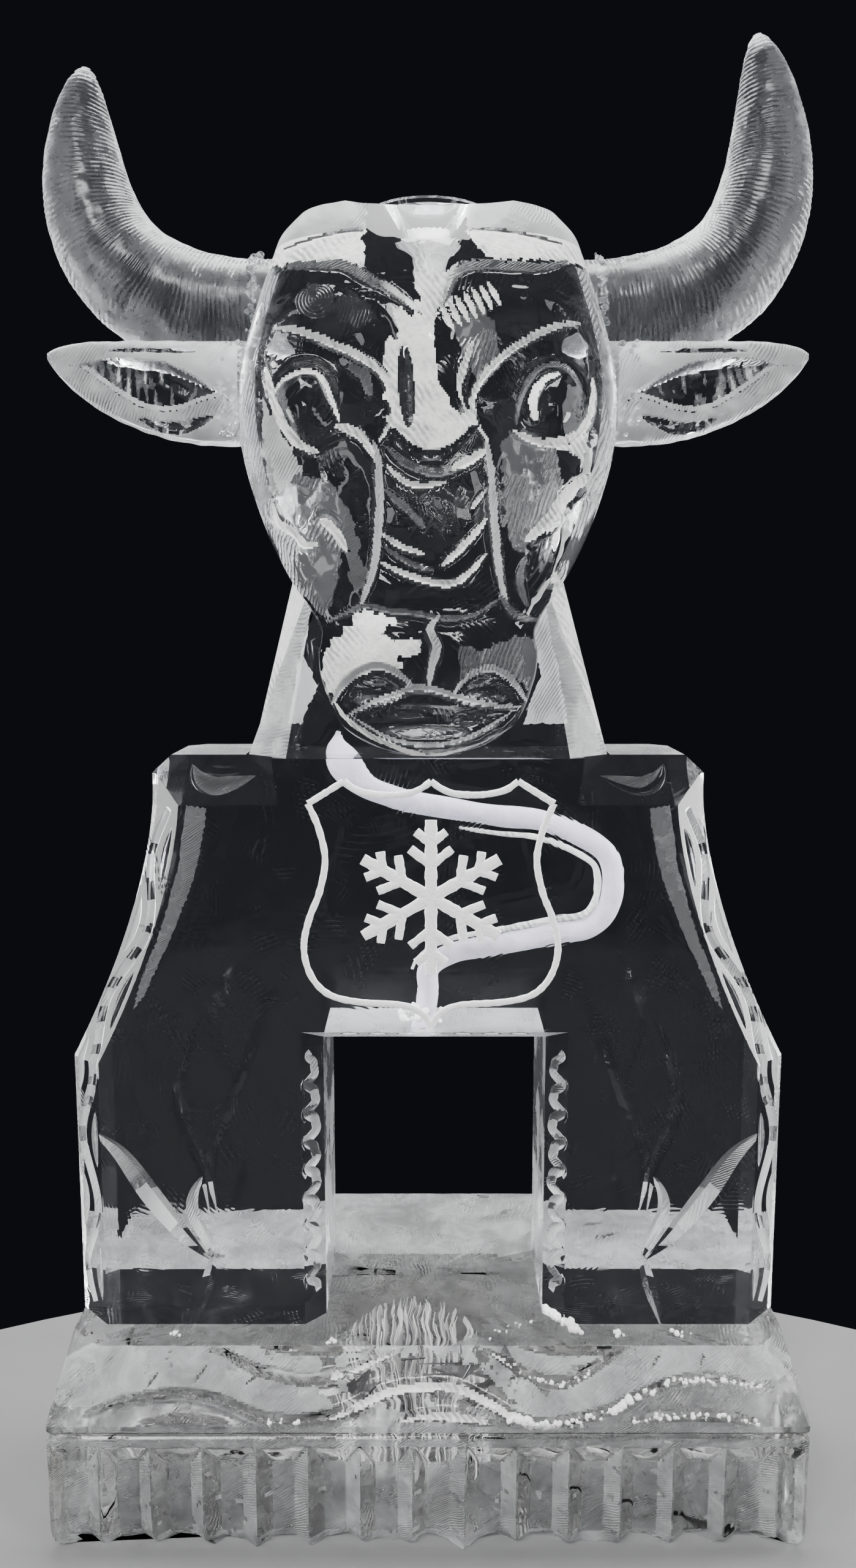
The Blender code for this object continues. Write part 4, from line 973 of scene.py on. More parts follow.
# Heights are shares of the head's height, widths are shares of its half width, fronts and sides
# are shares of how far it reaches in front of the origin, and backs are shares behind it.
HEAD_WIDTHS = (
    (0.015, 0.14), (0.031, 0.29), (0.070, 0.44), (0.146, 0.53), (0.189, 0.55), (0.242, 0.545),
    (0.335, 0.72), (0.425, 0.85), (0.53, 0.955), (0.62, 1.0), (0.70, 1.0), (0.777, 0.95),
    (0.862, 0.875), (0.93, 0.81), (0.965, 0.77), (1.0, 0.68),
)
HEAD_FRONTS = (
    (0.015, 0.80), (0.05, 0.89), (0.10, 0.94), (0.17, 0.97), (0.25, 0.955), (0.32, 0.90), (0.45, 0.84),
    (0.65, 0.79), (0.76, 0.745), (0.86, 0.67), (0.93, 0.565), (1.0, 0.45),
)
HEAD_BACKS = (
    (0.015, -0.55), (0.20, -0.25), (0.335, 0.20), (0.47, 0.62), (0.60, 0.92), (0.70, 1.0), (0.80, 0.96),
    (0.90, 0.78), (1.0, 0.42),
)
HEAD_SIDES = ((0.015, 0.63), (0.20, 0.614), (0.34, 0.315), (0.55, 0.094), (1.0, 0.031))
FACE_SQUARENESS = 2.4
# Broad swells of the face: middle across and up, half width and half height, and how proud it is
SWELLS = (
    (0.47, 0.70, 0.36, 0.125, -0.16), (0.60, 0.640, 0.19, 0.085, 0.16), (0.52, 0.79, 0.34, 0.045, 0.05),
    (0.0, 0.50, 0.26, 0.20, 0.045), (0.46, 0.42, 0.20, 0.15, -0.07), (0.0, 0.275, 0.50, 0.040, -0.05),
    (0.27, 0.20, 0.26, 0.075, 0.05), (0.27, 0.135, 0.16, 0.028, -0.09), (0.0, 0.080, 0.36, 0.032, -0.10),
    (0.0, 0.040, 0.30, 0.030, 0.04),
)
# Strokes of the V tool on the face: the paint that each leaves (0 clear, 1 dull, 2 white, 5 pale),
# which a frosted stroke gets on its upper wall only, as painted light where that wall faces the lamps;
# its line in millimetres across and up, its half width and its depth
STROKES = (
    (1, ((-93, 843), (-64, 839), (-52, 837), (-38, 828), (-22, 819), (-4, 804)), 4.6, 6),
    (1, ((7, 806), (11, 817), (16, 829), (26, 836), (48, 837), (70, 838), (90, 846)), 4.6, 6),
    (2, ((-98, 803), (-78, 799), (-51, 788), (-28, 770), (-22, 745), (-31, 727)), 3.4, 6),
    (2, ((96, 805), (76, 801), (51, 788), (31, 765), (27, 745), (37, 727)), 3.2, 6),
    (2, ((-98, 759), (-91, 769), (-76, 774), (-67, 770), (-60, 755), (-55, 741)), 2.8, 4.5),
    (2, ((-103, 778), (-99, 760), (-92, 743), (-82, 729), (-68, 722)), 5.2, 4),
    (2, ((66, 740), (64, 754), (70, 766), (82, 772)), 4.2, 2.5),
    (1, ((54, 740), (58, 760), (70, 777), (86, 778), (98, 763)), 2.6, 4),
    (2, ((51, 735), (68, 729), (86, 731), (98, 740), (104, 756), (104, 772)), 4.2, 4.5),
    (1, ((-50, 778), (-40, 770), (-36, 756)), 5.5, 3),
    (5, ((-34, 729), (-31, 716), (-30, 698), (-31, 675), (-34, 650), (-44, 624)), 4.2, 6),
    (5, ((35, 729), (38, 713), (40, 690), (42, 667), (44, 648), (49, 626)), 4.2, 6),
    (2, ((-58, 738), (-50, 736), (-40, 730), (-33, 717)), 4.4, 4),
    (0, ((-15, 786), (-14, 764), (-12, 737)), 5.2, 9),
    (2, ((27, 789), (20, 768), (23, 750), (30, 736)), 4.6, 5),
    (0, ((26, 774), (22, 762), (24, 748)), 1.8, 6),
    (0, ((-23, 737), (-10, 723), (4, 720), (16, 725), (31, 740)), 3.4, 7),
    (1, ((-26, 724), (-12, 713), (3, 709), (18, 712), (32, 724)), 4.2, 4),
    (2, ((-26, 714), (-15, 704), (-3, 701), (13, 704)), 2.8, 5),
    (2, ((14, 711), (24, 716), (35, 723)), 4.6, 5),
    (1, ((-28, 700), (-19, 692), (-10, 684), (-2, 675)), 3.6, 5),
    (2, ((26, 687), (35, 700)), 2.2, 3),
    (2, ((-28, 672), (-17, 665), (-3, 660)), 2.8, 4),
    (1, ((-28, 665), (-12, 655), (4, 650)), 2.4, 4),
    (2, ((7, 652), (16, 660), (27, 671), (36, 682)), 3.6, 5),
    (2, ((-30, 655), (-9, 646), (12, 642), (23, 647), (36, 661)), 3.6, 5),
    (2, ((-100, 694), (-96, 682), (-86, 675), (-78, 667), (-69, 667)), 4.4, 6),
    (2, ((-68, 682), (-60, 676), (-51, 662)), 5.0, 4),
    (1, ((-74, 681), (-64, 687), (-54, 680)), 3.0, 4),
    (2, ((104, 711), (90, 700), (78, 684), (60, 667)), 7.0, 5),
    (1, ((61, 660), (57, 645), (62, 628)), 3.4, 4),
    (1, ((-64, 619), (-50, 625), (-39, 629), (-25, 626), (-6, 624), (11, 621), (29, 624), (46, 635)),
         2.8, 5),
    (1, ((44, 636), (54, 624), (74, 619)), 2.8, 5),
    (5, ((7, 623), (1, 614), (5, 604), (2, 592), (0, 579)), 4.2, 5),
    (5, ((-62, 566), (-50, 583), (-33, 592), (-19, 588), (-7, 577)), 4.0, 5),
    (0, ((-52, 568), (-33, 580), (-14, 575)), 6, 4),
    (5, ((15, 575), (26, 587), (38, 591), (51, 584), (64, 567)), 3.6, 5),
    (0, ((22, 574), (38, 581), (54, 570)), 5.5, 4),
    (1, ((-94, 857), (-51, 862), (-40, 861)), 1.7, 1.5),
    (1, ((24, 861), (42, 862), (88, 858)), 1.7, 1.5),
    (5, ((-52, 560), (-38, 568), (-22, 574), (-9, 579), (4, 578), (19, 573), (38, 568), (60, 566)), 3.2, 5),
    (0, ((-36, 561), (-15, 567), (5, 563), (28, 559), (48, 563)), 3.0, 4),
    (5, ((-48, 561), (-28, 549), (-9, 544), (11, 544), (32, 551), (52, 563)), 2.4, 5),
    (2, ((-59, 569), (-51, 558), (-32, 546), (-9, 537), (4, 535), (26, 541)), 3.4, 3),
)
FROWN_FOOT, FROWN_TOP, FROWNS, FROWN_WIDTH, FROWN_DEPTH = (11, 804), (40, 819), 7, 1.9, 3
# Saw flats of the crown: a point and a direction, in the head's shares
CROWN_FLATS = (
    ((0, 0.39, 1.0), (0, 0.78, 0.63)), ((0.547, 0.39, 1.0), (0.62, 0.45, 0.64)),
    ((-0.547, 0.39, 1.0), (-0.62, 0.45, 0.64)),
)
NECK_RISE, NECK_FRONT, NECK_BACK = 210, -62, 33
# Sections of the neck: share of its rise, and the corners of its right half from front to back, in
# shares of its half width and of its depth
NECK_SECTIONS = (
    (0, ((0.77, 0), (1.0, 0.26), (1.0, 0.50), (1.0, 0.80), (0.76, 1.0))),
    (0.56, ((0.59, 0), (0.63, 0.22), (0.76, 0.50), (0.76, 0.905), (0.60, 1.17))),
    (1, ((0.50, 0.10), (0.55, 0.24), (0.68, 0.50), (0.68, 0.96), (0.50, 1.27))),
)
BOWL_RADIUS, BOWL_FLOOR_RADIUS, BOWL_DEPTH, BOWL_Y, BOWL_SIDES = 35, 20, 30, -6, 72
COLLAR_WALL, COLLAR_RISE = 6, 4
# Funnel: how far below the bowl's floor, and its radius there
FUNNEL = ((62, 2.5), (30, 4.5), (9, 11))


def frowns():
    """Row of short strokes over the eye at the viewer's right."""
    tilt = np.array((-4, 8))
    return [(middle - tilt, middle + tilt) for middle in np.linspace(FROWN_FOOT, FROWN_TOP, FROWNS)]


def swells(across, height):
    """How proud the broad swells make the face, in shares of its reach."""
    relief = 0
    for middle, level, wide, tall, proud in SWELLS:
        spread = ((np.abs(across) - middle) / wide) ** 2 + ((height - level) / tall) ** 2
        relief = relief + proud * np.clip(1 - spread, 0, 1) ** 1.5
    return relief


def stroke_depth(x, z):
    """How deep the V tool went at every point of the face."""
    depth = 0 * x
    for _, line, half_width, deep in STROKES:
        depth = np.maximum(depth, carved(x, z, smooth_line(line, 22), half_width, deep, 0.35))
    for line in frowns():
        depth = np.maximum(depth, carved(x, z, line, FROWN_WIDTH, FROWN_DEPTH))
    return depth


def head_shell(rows, front, back, grow, detailed):
    """Level rings of the head, from under the chin up to the crown."""
    height = np.linspace(HEAD_WIDTHS[0][0], 1, rows)[:, None]
    half = curve(HEAD_WIDTHS, height)
    side = HEAD_REACH * curve(HEAD_SIDES, height)
    turn = np.linspace(-1, 1, front)[None, :]
    across = 0.45 * turn + 0.55 * np.sin(turn * np.pi / 2)
    inside = np.clip(1 - np.abs(across) ** FACE_SQUARENESS, 0, 1)
    reach = HEAD_REACH * curve(HEAD_FRONTS, height) - side + grow
    x = across * (half * HEAD_HALF + grow)
    z = HEAD_SEAM + HEAD_TALL * height + 0 * x
    relief = HEAD_REACH * swells(across * half, height) * np.minimum(1, inside * 3)
    out = side + reach * inside ** (1 / FACE_SQUARENESS) + relief
    if detailed:
        out = out - stroke_depth(x, z) * np.minimum(1, inside * 4)
        face = np.stack([x, z], -1)
        out = out + (0.5 * ripple(face, 26, 31) + 0.22 * ripple(face, 9, 32)) * np.minimum(1, inside * 3)
        out = np.minimum(out, HEAD_REACH)
    bend = np.pi * np.arange(1, back)[None, :] / back
    outer = half * HEAD_HALF + grow
    rear = HEAD_BACK * curve(HEAD_BACKS, height)
    back_x = outer * np.cos(bend)
    back_y = -side + (rear + side + grow) * np.sin(bend)
    rings = np.stack([
        np.concatenate([x, back_x], 1), np.concatenate([-out, back_y], 1),
        np.concatenate([z, z[:, :1] + 0 * back_x], 1),
    ], -1)
    for point, way in CROWN_FLATS:
        point = np.array((point[0] * HEAD_HALF, -point[1] * HEAD_REACH, HEAD_SEAM + point[2] * HEAD_TALL))
        way = np.array((way[0], -way[1], way[2])) / np.linalg.norm(way)
        beyond = np.clip((rings - point) @ way, 0, None)
        rings = rings - beyond[..., None] * way
    return rings


def neck():
    """The sawn neck, from the block up into the head, with broad chamfers."""
    rings = []
    for share, corners in NECK_SECTIONS:
        z = HEAD_SEAM - (FUSED if share == 0 else 0) + NECK_RISE * share
        right = [(x * NECK_HALF, NECK_FRONT + (NECK_BACK - NECK_FRONT) * deep, z) for x, deep in corners]
        rings.append(right[::-1] + [(-x, y, z) for x, y, z in right])
    return skin("neck", rings, 12)


def turned(name, heights, radii):
    """Round piece or tool on the bowl's axis."""
    return skin(name, [circle(r, (0, BOWL_Y), z, BOWL_SIDES) for z, r in zip(heights, radii)], 40)


def in_patch(place, outline, ragged, seed):
    """Which points lie in an outline whose edge is ragged by so many millimetres."""
    grain = ragged * np.stack([ripple(place, 9, seed), 0.7 * ripple(place, 6, seed + 1)], -1)
    x, z = np.moveaxis(place + grain, -1, 0)
    within = np.zeros(x.shape, bool)
    for (x0, z0), (x1, z1) in zip(outline, outline[1:] + outline[:1]):
        crosses = (z0 > z) != (z1 > z)
        within ^= crosses & (x < (x1 - x0) * (z - z0) / (z1 - z0 + 1e-9) + x0)
    return within


# Frosted places of the face: the paint (1 dull, 2 white, 4 rim, 5 pale, 6 ringed), how ragged the
# edge is, and the outline across and up
FROSTED = (
    (2, 2.0, ((-96, 846), (-83, 842), (-58, 842), (-40, 836), (-40, 862), (-38, 905), (-130, 905),
              (-110, 850))),
    (2, 2.0, ((26, 905), (23, 862), (30, 848), (38, 841), (60, 843), (86, 845), (110, 850), (130, 905))),
    (5, 2.0, ((-108, 764), (-99, 752), (-88, 730), (-76, 708), (-77, 684), (-82, 684), (-94, 700),
              (-103, 724))),
    (6, 1.5, ((-83, 822), (-74, 828), (-62, 826), (-56, 818), (-60, 809), (-72, 805), (-82, 811))),
    (6, 1.5, ((-58, 816), (-48, 820), (-36, 812), (-32, 804), (-44, 800), (-56, 805))),
    (1, 2.5, ((-57, 692), (-51, 693), (-42, 668), (-38, 644), (-43, 634), (-50, 650), (-54, 672))),
    (2, 1.5, ((73, 727), (92, 733), (102, 740), (97, 714), (93, 724), (84, 726))),
    (2, 1.5, ((80, 652), (88, 642), (85, 628), (78, 632))),
    (2, 2.5, ((-41, 628), (-18, 621), (-31, 612), (-4, 608), (-4, 600), (-19, 598), (-16, 591), (-35, 592),
              (-51, 584), (-58, 574), (-64, 574), (-68, 587), (-66, 602), (-53, 613))),
    (4, 2.0, ((18, 606), (32, 603), (60, 613), (71, 604), (75, 588), (68, 571), (58, 582), (39, 591),
              (20, 582))),
    (4, 1.5, ((-100, 694), (-82, 712), (-60, 706), (-52, 690), (-56, 648), (-64, 622), (-84, 640),
              (-96, 668))),
    (4, 1.5, ((44, 730), (58, 738), (78, 728), (84, 704), (70, 676), (58, 662), (50, 668), (46, 700))),
    (4, 1.5, ((14, 800), (30, 812), (42, 800), (44, 778), (34, 764), (24, 772), (18, 788))),
    (2, 2.0, ((-8, 832), (12, 832), (13, 813), (3, 808), (2, 790), (7, 763), (15, 749), (28, 741),
              (15, 724), (-3, 721), (-22, 733), (-27, 760), (-27, 792), (-18, 790), (-24, 812),
              (-8, 803))),
)


def frost_and_lit_walls(places):
    """Paint of the ice at every place of the face. A frosted cut is painted only on its upper wall, which
    faces the lamps. The frost is the tool's, and keeping it to that wall is painted light.
    """
    kind = np.zeros(places.shape[:2], int)
    for i, (paint_kind, ragged, outline) in enumerate(FROSTED):
        kind[in_patch(places, outline, ragged, 40 + 2 * i)] = paint_kind
    x, z = np.moveaxis(places, -1, 0)
    skips = 0.12 + 0.14 * ripple(places, 11, 38) + 0.08 * ripple(places, 4.5, 39)
    for paint_kind, line, half_width, _ in STROKES:
        # A frosted stroke is painted on its upper wall only, shifted up and narrowed, as painted light
        # where that wall faces the lamps; a clear stroke is clear over its whole width.
        rise, share, edge = (0.28 * half_width, 0.7, skips) if paint_kind else (0, 1, 0)
        cut = carved(x, z, smooth_line(line, 22) + (0, rise), share * half_width, 1, 0.35)
        kind[cut > np.maximum(0.05, edge)] = paint_kind
    for line in frowns():
        kind[carved(x, z, line, FROWN_WIDTH, 1) > 0.1] = 2
    return kind


def sawn_ice():
    """Ice straight from the chain saw: level scratches over a dull white face."""
    material, tree, shader = ice("sawn ice", (0.93, 0.94, 0.94), 0.4, 0.55, 0.7)
    marks = use_group(tree, FILE_MARKS, Pitch=120, Depth=1.2, Tilt=0.12)
    grain = use_group(tree, GRAIN, Scale=160, Detail=5)
    bump(tree, shader, 0.0014, marks["Height"], grain["Value"])
    return material


def rim_ice():
    """Side of the head: half clear, with long slanting saw lines."""
    material, tree, shader = ice("rim ice", (0.93, 0.94, 0.95), 0.25, 0.88, 0.75)
    marks = use_group(tree, FILE_MARKS, Pitch=110, Depth=2.4, Tilt=1.25)
    roughen(tree, shader, marks["Height"], 0, 1.2, 0.12, 0.6)
    bump(tree, shader, 0.0016, marks["Height"])
    return material


# Middle of the burr's rings at the eye, in metres
BURR_MIDDLE = (-0.069, 0, 0.817)


def ringed_ice():
    """Clear ice with the fine rings of a turning burr."""
    material, tree, shader = ice("ringed ice", (0.93, 0.94, 0.95), 0.1, 0.95, 0.8)
    place = node(tree, "TexCoord").outputs["Object"]
    middle = node(tree, "VectorMath", {"operation": "SUBTRACT"}, _0=place, _1=BURR_MIDDLE)
    rings = node(tree, "TexWave", {"wave_type": "RINGS", "rings_direction": "Y"},
                 Vector=middle.outputs[0], Scale=150, Distortion=2.5, Detail=1, Detail_Scale=0.4)
    bump(tree, shader, 0.001, rings.outputs[1])
    return material


# Paints 0 to 6 of the head
HEAD_PAINTS = (CLEAR, SATIN, WHITE, sawn_ice(), rim_ice(), PALE, ringed_ice())
# Paints of the neck's ten sides, from the rear right one forwards and round to the back
NECK_PAINTS = (0, 2, 2, 3, 0, 3, 2, 2, 0, 0)
HEAD_ROWS, HEAD_FRONT_POINTS, HEAD_BACK_POINTS = 262, 320, 44
# The rim's lower and upper end, where the pale crown starts, and the clear window that shows the bowl
RIM_LOW, RIM_HIGH, FOREHEAD_TOP, CROWN_FOOT, WINDOW_MIDDLE, WINDOW_HALF = 640, 846, 862, 884, -7.5, 31
# Share of the head's half width over which its side counts as rim
RIM_SHARE = 0.86
rings = head_shell(HEAD_ROWS, HEAD_FRONT_POINTS, HEAD_BACK_POINTS, 0, True)
head = skin("ice_head", rings, 40)
middles = (rings[:-1] + rings[1:]) / 2
across, back, up = np.moveaxis(middles, -1, 0)
choice = np.where(back < 0, frost_and_lit_walls(middles[..., ::2]), 0)
edge = np.abs(across) / np.abs(across).max(axis=1)[:, None]
rim = (edge > RIM_SHARE) & (up > RIM_LOW) & (up < RIM_HIGH + 4 * ripple(middles, 20, 47))
choice[rim & (choice == 0)] = 4
choice[(up > FOREHEAD_TOP) & (choice == 2)] = 5
window = (np.abs(across - WINDOW_MIDDLE) < WINDOW_HALF) & (back < BOWL_Y)
choice[(up > CROWN_FOOT) & ~window] = 5
choice[window & (up > FOREHEAD_TOP)] = 0
paint(head, HEAD_PAINTS, choice.ravel())
neck_solid = neck()
paint(neck_solid, HEAD_PAINTS, np.array(NECK_PAINTS * 2))
crown = HEAD_SEAM + HEAD_TALL + COLLAR_RISE
collar = turned("collar", (crown - BOWL_DEPTH, crown), (BOWL_RADIUS + COLLAR_WALL,) * 2)
paint(collar, HEAD_PAINTS)
bowl_floor = crown - BOWL_DEPTH - COLLAR_RISE
levels = [bowl_floor - down for down, _ in FUNNEL] + [bowl_floor, crown + 20]
radii = [radius for _, radius in FUNNEL] + [BOWL_FLOOR_RADIUS, BOWL_RADIUS + 9]
bowl = turned("bowl", levels, radii)
paint(bowl, HEAD_PAINTS, np.repeat((2, 2, 2, 0), BOWL_SIDES))
carve(head, [neck_solid, collar], "UNION", "MANIFOLD")
carve(head, [bowl], "DIFFERENCE", "MANIFOLD")
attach(head, "root")
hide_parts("head")

# Frosted neck
# Two upright strips of frost, filed pale on the front of the neck beside its sawn corners. The
# first number of each is its side.
NECK_STRIPS = (
    (1, ((-74, 640), (-66, 621), (-70, 604), (-74, 584), (-66, 562), (-64, 553), (-93, 553), (-90, 570),
         (-87, 585), (-82, 606))),
    (-1, ((-74, 632), (-78, 621), (-82, 598), (-73, 578), (-79, 566), (-84, 553), (-93, 553), (-90, 568),
          (-85, 597))),
)
frost = merge("frosted_neck", [frost_sheet(outline, side, NECK_FRONT) for side, outline in NECK_STRIPS])
paint(frost, (PALE,))
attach(frost, "root")

# Horns
# Each horn was turned from its own piece with a file, frozen to the side of the head with slush,
# and filed on across its length, which left it ribbed and dull. Its upper inner and outer edges are
# painted pale as painted light, and a band along it is painted a clearer, greyer ice as painted shade.
HORN_ROOT, HORN_LEAVE, HORN_THICK, HORN_TIP, HORN_Y = (95, 827), 94, 78, 6, 12
HORN_TAPER, HORN_BULGE = 3.5, 0.84
# Which horn, its side, how far out its middle line bulges, and its tip across and up
HORNS = (("left", -1, 252, (231, 990)), ("right", 1, 260, (221.5, 1011)))
HORN_ROWS, HORN_SIDES, TIP_CROWDING, RIB_PITCH = 520, 90, 1.45, 3.2


def horn_ice():
    """Filed and wet again: light comes through, and shapes behind it are lost."""
    material, tree, shader = ice("filed horn ice", (0.90, 0.91, 0.92), 0.3, 0.94, 0.7)
    grain = use_group(tree, GRAIN, Scale=180, Detail=5)
    roughen(tree, shader, grain["Value"], 0.35, 0.65, 0.24, 0.34)
    bump(tree, shader, 0.0003, grain["Value"])
    return material


def horn_rings(side, bulge, tip, rows, sides, grow=0):
    """Rings round the horn's curved middle line, closer together towards its tip."""
    share = 1 - (1 - np.linspace(0, 1, rows)) ** TIP_CROWDING
    t = share[:, None]
    root, leave = np.array(HORN_ROOT), np.array(HORN_ROOT) + (HORN_LEAVE, 0)
    tip = np.array(tip)
    arrive = np.array((bulge, tip[1] - HORN_BULGE * (tip[1] - HORN_ROOT[1])))
    line = root * (1 - t) ** 3 + leave * 3 * t * (1 - t) ** 2 + arrive * 3 * t * t * (1 - t) + tip * t ** 3
    run = np.gradient(line, axis=0)
    run /= np.linalg.norm(run, axis=1)[:, None]
    across = np.stack([run[:, 1], -run[:, 0]], 1)
    radius = np.maximum(HORN_TIP, HORN_THICK * np.sqrt(1 - share ** HORN_TAPER)) / 2 + grow
    turns = np.linspace(0, 2 * np.pi, sides, endpoint=False)
    x = line[:, :1] + across[:, :1] * radius[:, None] * np.cos(turns)
    z = line[:, 1:] + across[:, 1:] * radius[:, None] * np.cos(turns)
    y = HORN_Y - radius[:, None] * np.sin(turns)
    rings = np.stack([side * x, y, z], -1)
    return rings if side > 0 else rings[:, ::-1], share, line, radius


def ribs(rings, run):
    """Waves of the file along the horn."""
    return np.sin(2 * np.pi * (run + 1.6 * ripple(rings, 50, 50)) / RIB_PITCH)


seat = skin("seat", head_shell(90, 90, 40, -FUSED, False))
# Paints of the horns: filed ice; pale paint on their edges as painted light; and a clearer ice whose grey
# tint is painted shade.
HORN_PAINTS = (horn_ice(), PALE, ice("clearer horn ice with painted shade", (0.80, 0.81, 0.83), 0.2, 0.97, 0.4)[0])
for name, side, bulge, tip in HORNS:
    rings, share, line, radius = horn_rings(side, bulge, tip, HORN_ROWS, HORN_SIDES)
    centre = upright(line * (side, 1), HORN_Y)[:, None]
    run = np.cumsum(np.r_[0, np.linalg.norm(np.diff(line, axis=0), axis=1)])[:, None]
    strokes = ribs(rings, run) * np.clip(0.5 + ripple(rings, 26, 51), 0, 1)
    flats = 0.5 * ripple(rings, 34, 52) + 0.3 * ripple(rings, 13, 53)
    shrink = (0.24 * strokes + flats - 0.75) / radius[:, None]
    rings = rings + (rings - centre) * np.where(share[:, None] < 0.99, shrink, 0)[..., None] * 0.8
    horn = skin("ice_horn_" + name, np.minimum(rings, solid_box("horn_" + name)[1]), 50)
    grain = 0.14 * ripple(rings, 30, 54) + 0.1 * ripple(rings, 7, 55)
    grain = grain + 0.3 * ribs(rings, run) * (0.6 + 0.4 * ripple(rings, 16, 56))
    reach = (rings - centre) / radius[:, None, None]
    inner = reach @ np.array((-side, 0, 0.9)) / 1.35
    outer = reach @ np.array((side, 0, -0.3)) / 1.05
    # Pale paint on the upper inner edge and the outer edge of each horn, where the lamps catch it, is
    # painted light; the tip is painted pale too.
    white = (inner + grain > 0.66) | (outer + grain > 0.9) | (share[:, None] + 0.05 * grain > 0.985)
    # A band of clearer ice along the horn, greyer so that it reads dark, is painted shade.
    heart = np.abs(inner + 0.9 * grain + 0.3 - 0.6 * share[:, None]) < 0.24
    paint(horn, HORN_PAINTS, np.where(white, 1, np.where(heart, 2, 0))[:-1].ravel())
    carve(horn, [seat.copy()], "DIFFERENCE", "MANIFOLD")
    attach(horn, "root")
    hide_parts("horn_" + name)

# Ears
# Each ear is a leaf-shaped cup carved from its own piece, with a broad dull rim round a hollow that
# was cut in two sweeps. It is frozen to the head under the horn.
EAR_TIP, EAR_ROOT, EAR_TOP, EAR_BOTTOM = (253, 794), 108, 805.5, 737
EAR_FRONT, EAR_THICK, EAR_HOLLOW = -38, 34, 14
EAR_ROWS, EAR_FRONT_POINTS, EAR_BACK_POINTS = 190, 84, 30
# Back of the ear from its lower edge round to its top edge: share of its height down, and of its depth
EAR_BACK = (
    (1.0, 0.45), (0.97, 0.68), (0.86, 0.88), (0.68, 0.98), (0.5, 1.0), (0.34, 0.96), (0.18, 0.85),
    (0.06, 0.66), (0.0, 0.45),
)
HOLLOW_TOP = (
    (129, 764), (137, 770), (145, 775), (157, 782), (172, 789), (185, 791.5), (201, 792.5),
    (216, 791.5), (231, 788),
)
HOLLOW_FOOT = (
    (129, 764), (137, 767), (151, 764), (161, 760), (174, 758), (187, 760), (199, 766), (210, 773),
    (231, 788),
)
SECOND_CUT = ((141, 755), (153, 751), (165, 748), (178, 749), (192, 754))
THIRD_CUT = ((150, 797), (170, 797.5), (195, 798), (212, 797))
SECOND_STROKE, THIRD_STROKE = (4.2, 5), (2.2, 2)


def ear_rings(side):
    """Rings from the root to the tip, how far along each is, and where the hollow is cut."""
    share = np.minimum(0.992, 1 - (1 - np.linspace(0, 1, EAR_ROWS)) ** TIP_CROWDING)[:, None]
    x = EAR_ROOT + (EAR_TIP[0] - EAR_ROOT) * share
    body = np.clip((share - 0.15) / 0.85, 0, 1)
    top = EAR_TIP[1] + (EAR_TOP - EAR_TIP[1]) * (1 - body ** 6) ** 0.5
    bottom = EAR_TIP[1] - (EAR_TIP[1] - EAR_BOTTOM) * (1 - body ** 2.2) ** 0.75
    thick = EAR_THICK * (1 - 0.75 * body ** 1.5)
    front = EAR_FRONT + 0.18 * EAR_THICK * body
    down = 0.5 - 0.5 * np.cos(np.linspace(0.02, np.pi - 0.02, EAR_FRONT_POINTS))[None, :]
    z = top - (top - bottom) * down
    x = x + 0 * z
    roof, floor = curve(HOLLOW_TOP, x), curve(HOLLOW_FOOT, x)
    tall = np.maximum(roof - floor, 0.1)
    fall = np.clip((roof - z) / tall, 0, 1)
    scoop = np.minimum(fall / 0.16, (1 - fall) / 0.84) * np.minimum(1, tall / 16)
    deep = np.minimum(EAR_HOLLOW, 0.55 * thick) * np.clip(scoop, 0, 1) ** 0.8
    deep = np.maximum(deep, carved(x, z, smooth_line(SECOND_CUT, 24), *SECOND_STROKE))
    deep = np.maximum(deep, carved(x, z, smooth_line(THIRD_CUT, 16), *THIRD_STROKE))
    rim = 0.45 * thick * (2 * np.abs(down - 0.5)) ** 5
    y = front + np.minimum(deep + rim, 0.8 * thick)
    back = smooth_line(EAR_BACK, EAR_BACK_POINTS + 2)[1:-1].T
    back_z = top - (top - bottom) * np.clip(back[0], 0, 1)[None, :]
    back_y = front + thick * np.clip(back[1], 0, 1)[None, :]
    rings = np.stack([
        side * np.concatenate([x, x[:, :1] + 0 * back_z], 1), np.concatenate([y, back_y], 1),
        np.concatenate([z, back_z], 1),
    ], -1)
    inside = np.concatenate([np.where(deep > 0.6, 1, 0) + (scoop > 0), 0 * back_z], 1)
    return rings, share, inside


for name, side, bulge, tip in HORNS:
    rings, share, inside = ear_rings(side)
    rings = rings + 0.3 * np.stack([0 * rings[..., 0], ripple(rings, 12, 60), ripple(rings, 14, 61)], -1)
    rings[..., 0] = np.clip(rings[..., 0], -EAR_TIP[0], EAR_TIP[0])
    ear = skin("ice_ear_" + name, rings, 45)
    grain = ripple(rings, 20, 62) + 0.5 * ripple(rings, 6, 63)
    streaks = ripple(rings * (6, 1, 1), 26, 64) + 3 * (share - 0.5)
    kind = np.where(inside > 0, np.where(streaks > 0.35, np.where(streaks > 1.1, 2, 1), 0), 2)
    kind[:, EAR_FRONT_POINTS:] = np.where(grain[:, EAR_FRONT_POINTS:] > 0.7, 1, 0)
    kind[share[:, 0] < 0.12] = 1
    kind[(inside == 2) & (rings[..., 2] < curve(HOLLOW_FOOT, np.abs(rings[..., 0])) + 4.5)] = 2
    paint(ear, (CLEAR, SATIN, PALE), kind[:-1].ravel())
    horn_root = skin("root", horn_rings(side, bulge, tip, 60, 40, -FUSED)[0])
    carve(ear, [seat.copy(), horn_root], "DIFFERENCE", "MANIFOLD")
    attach(ear, "root")
    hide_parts("ear_" + name)
bpy.data.objects.remove(seat)

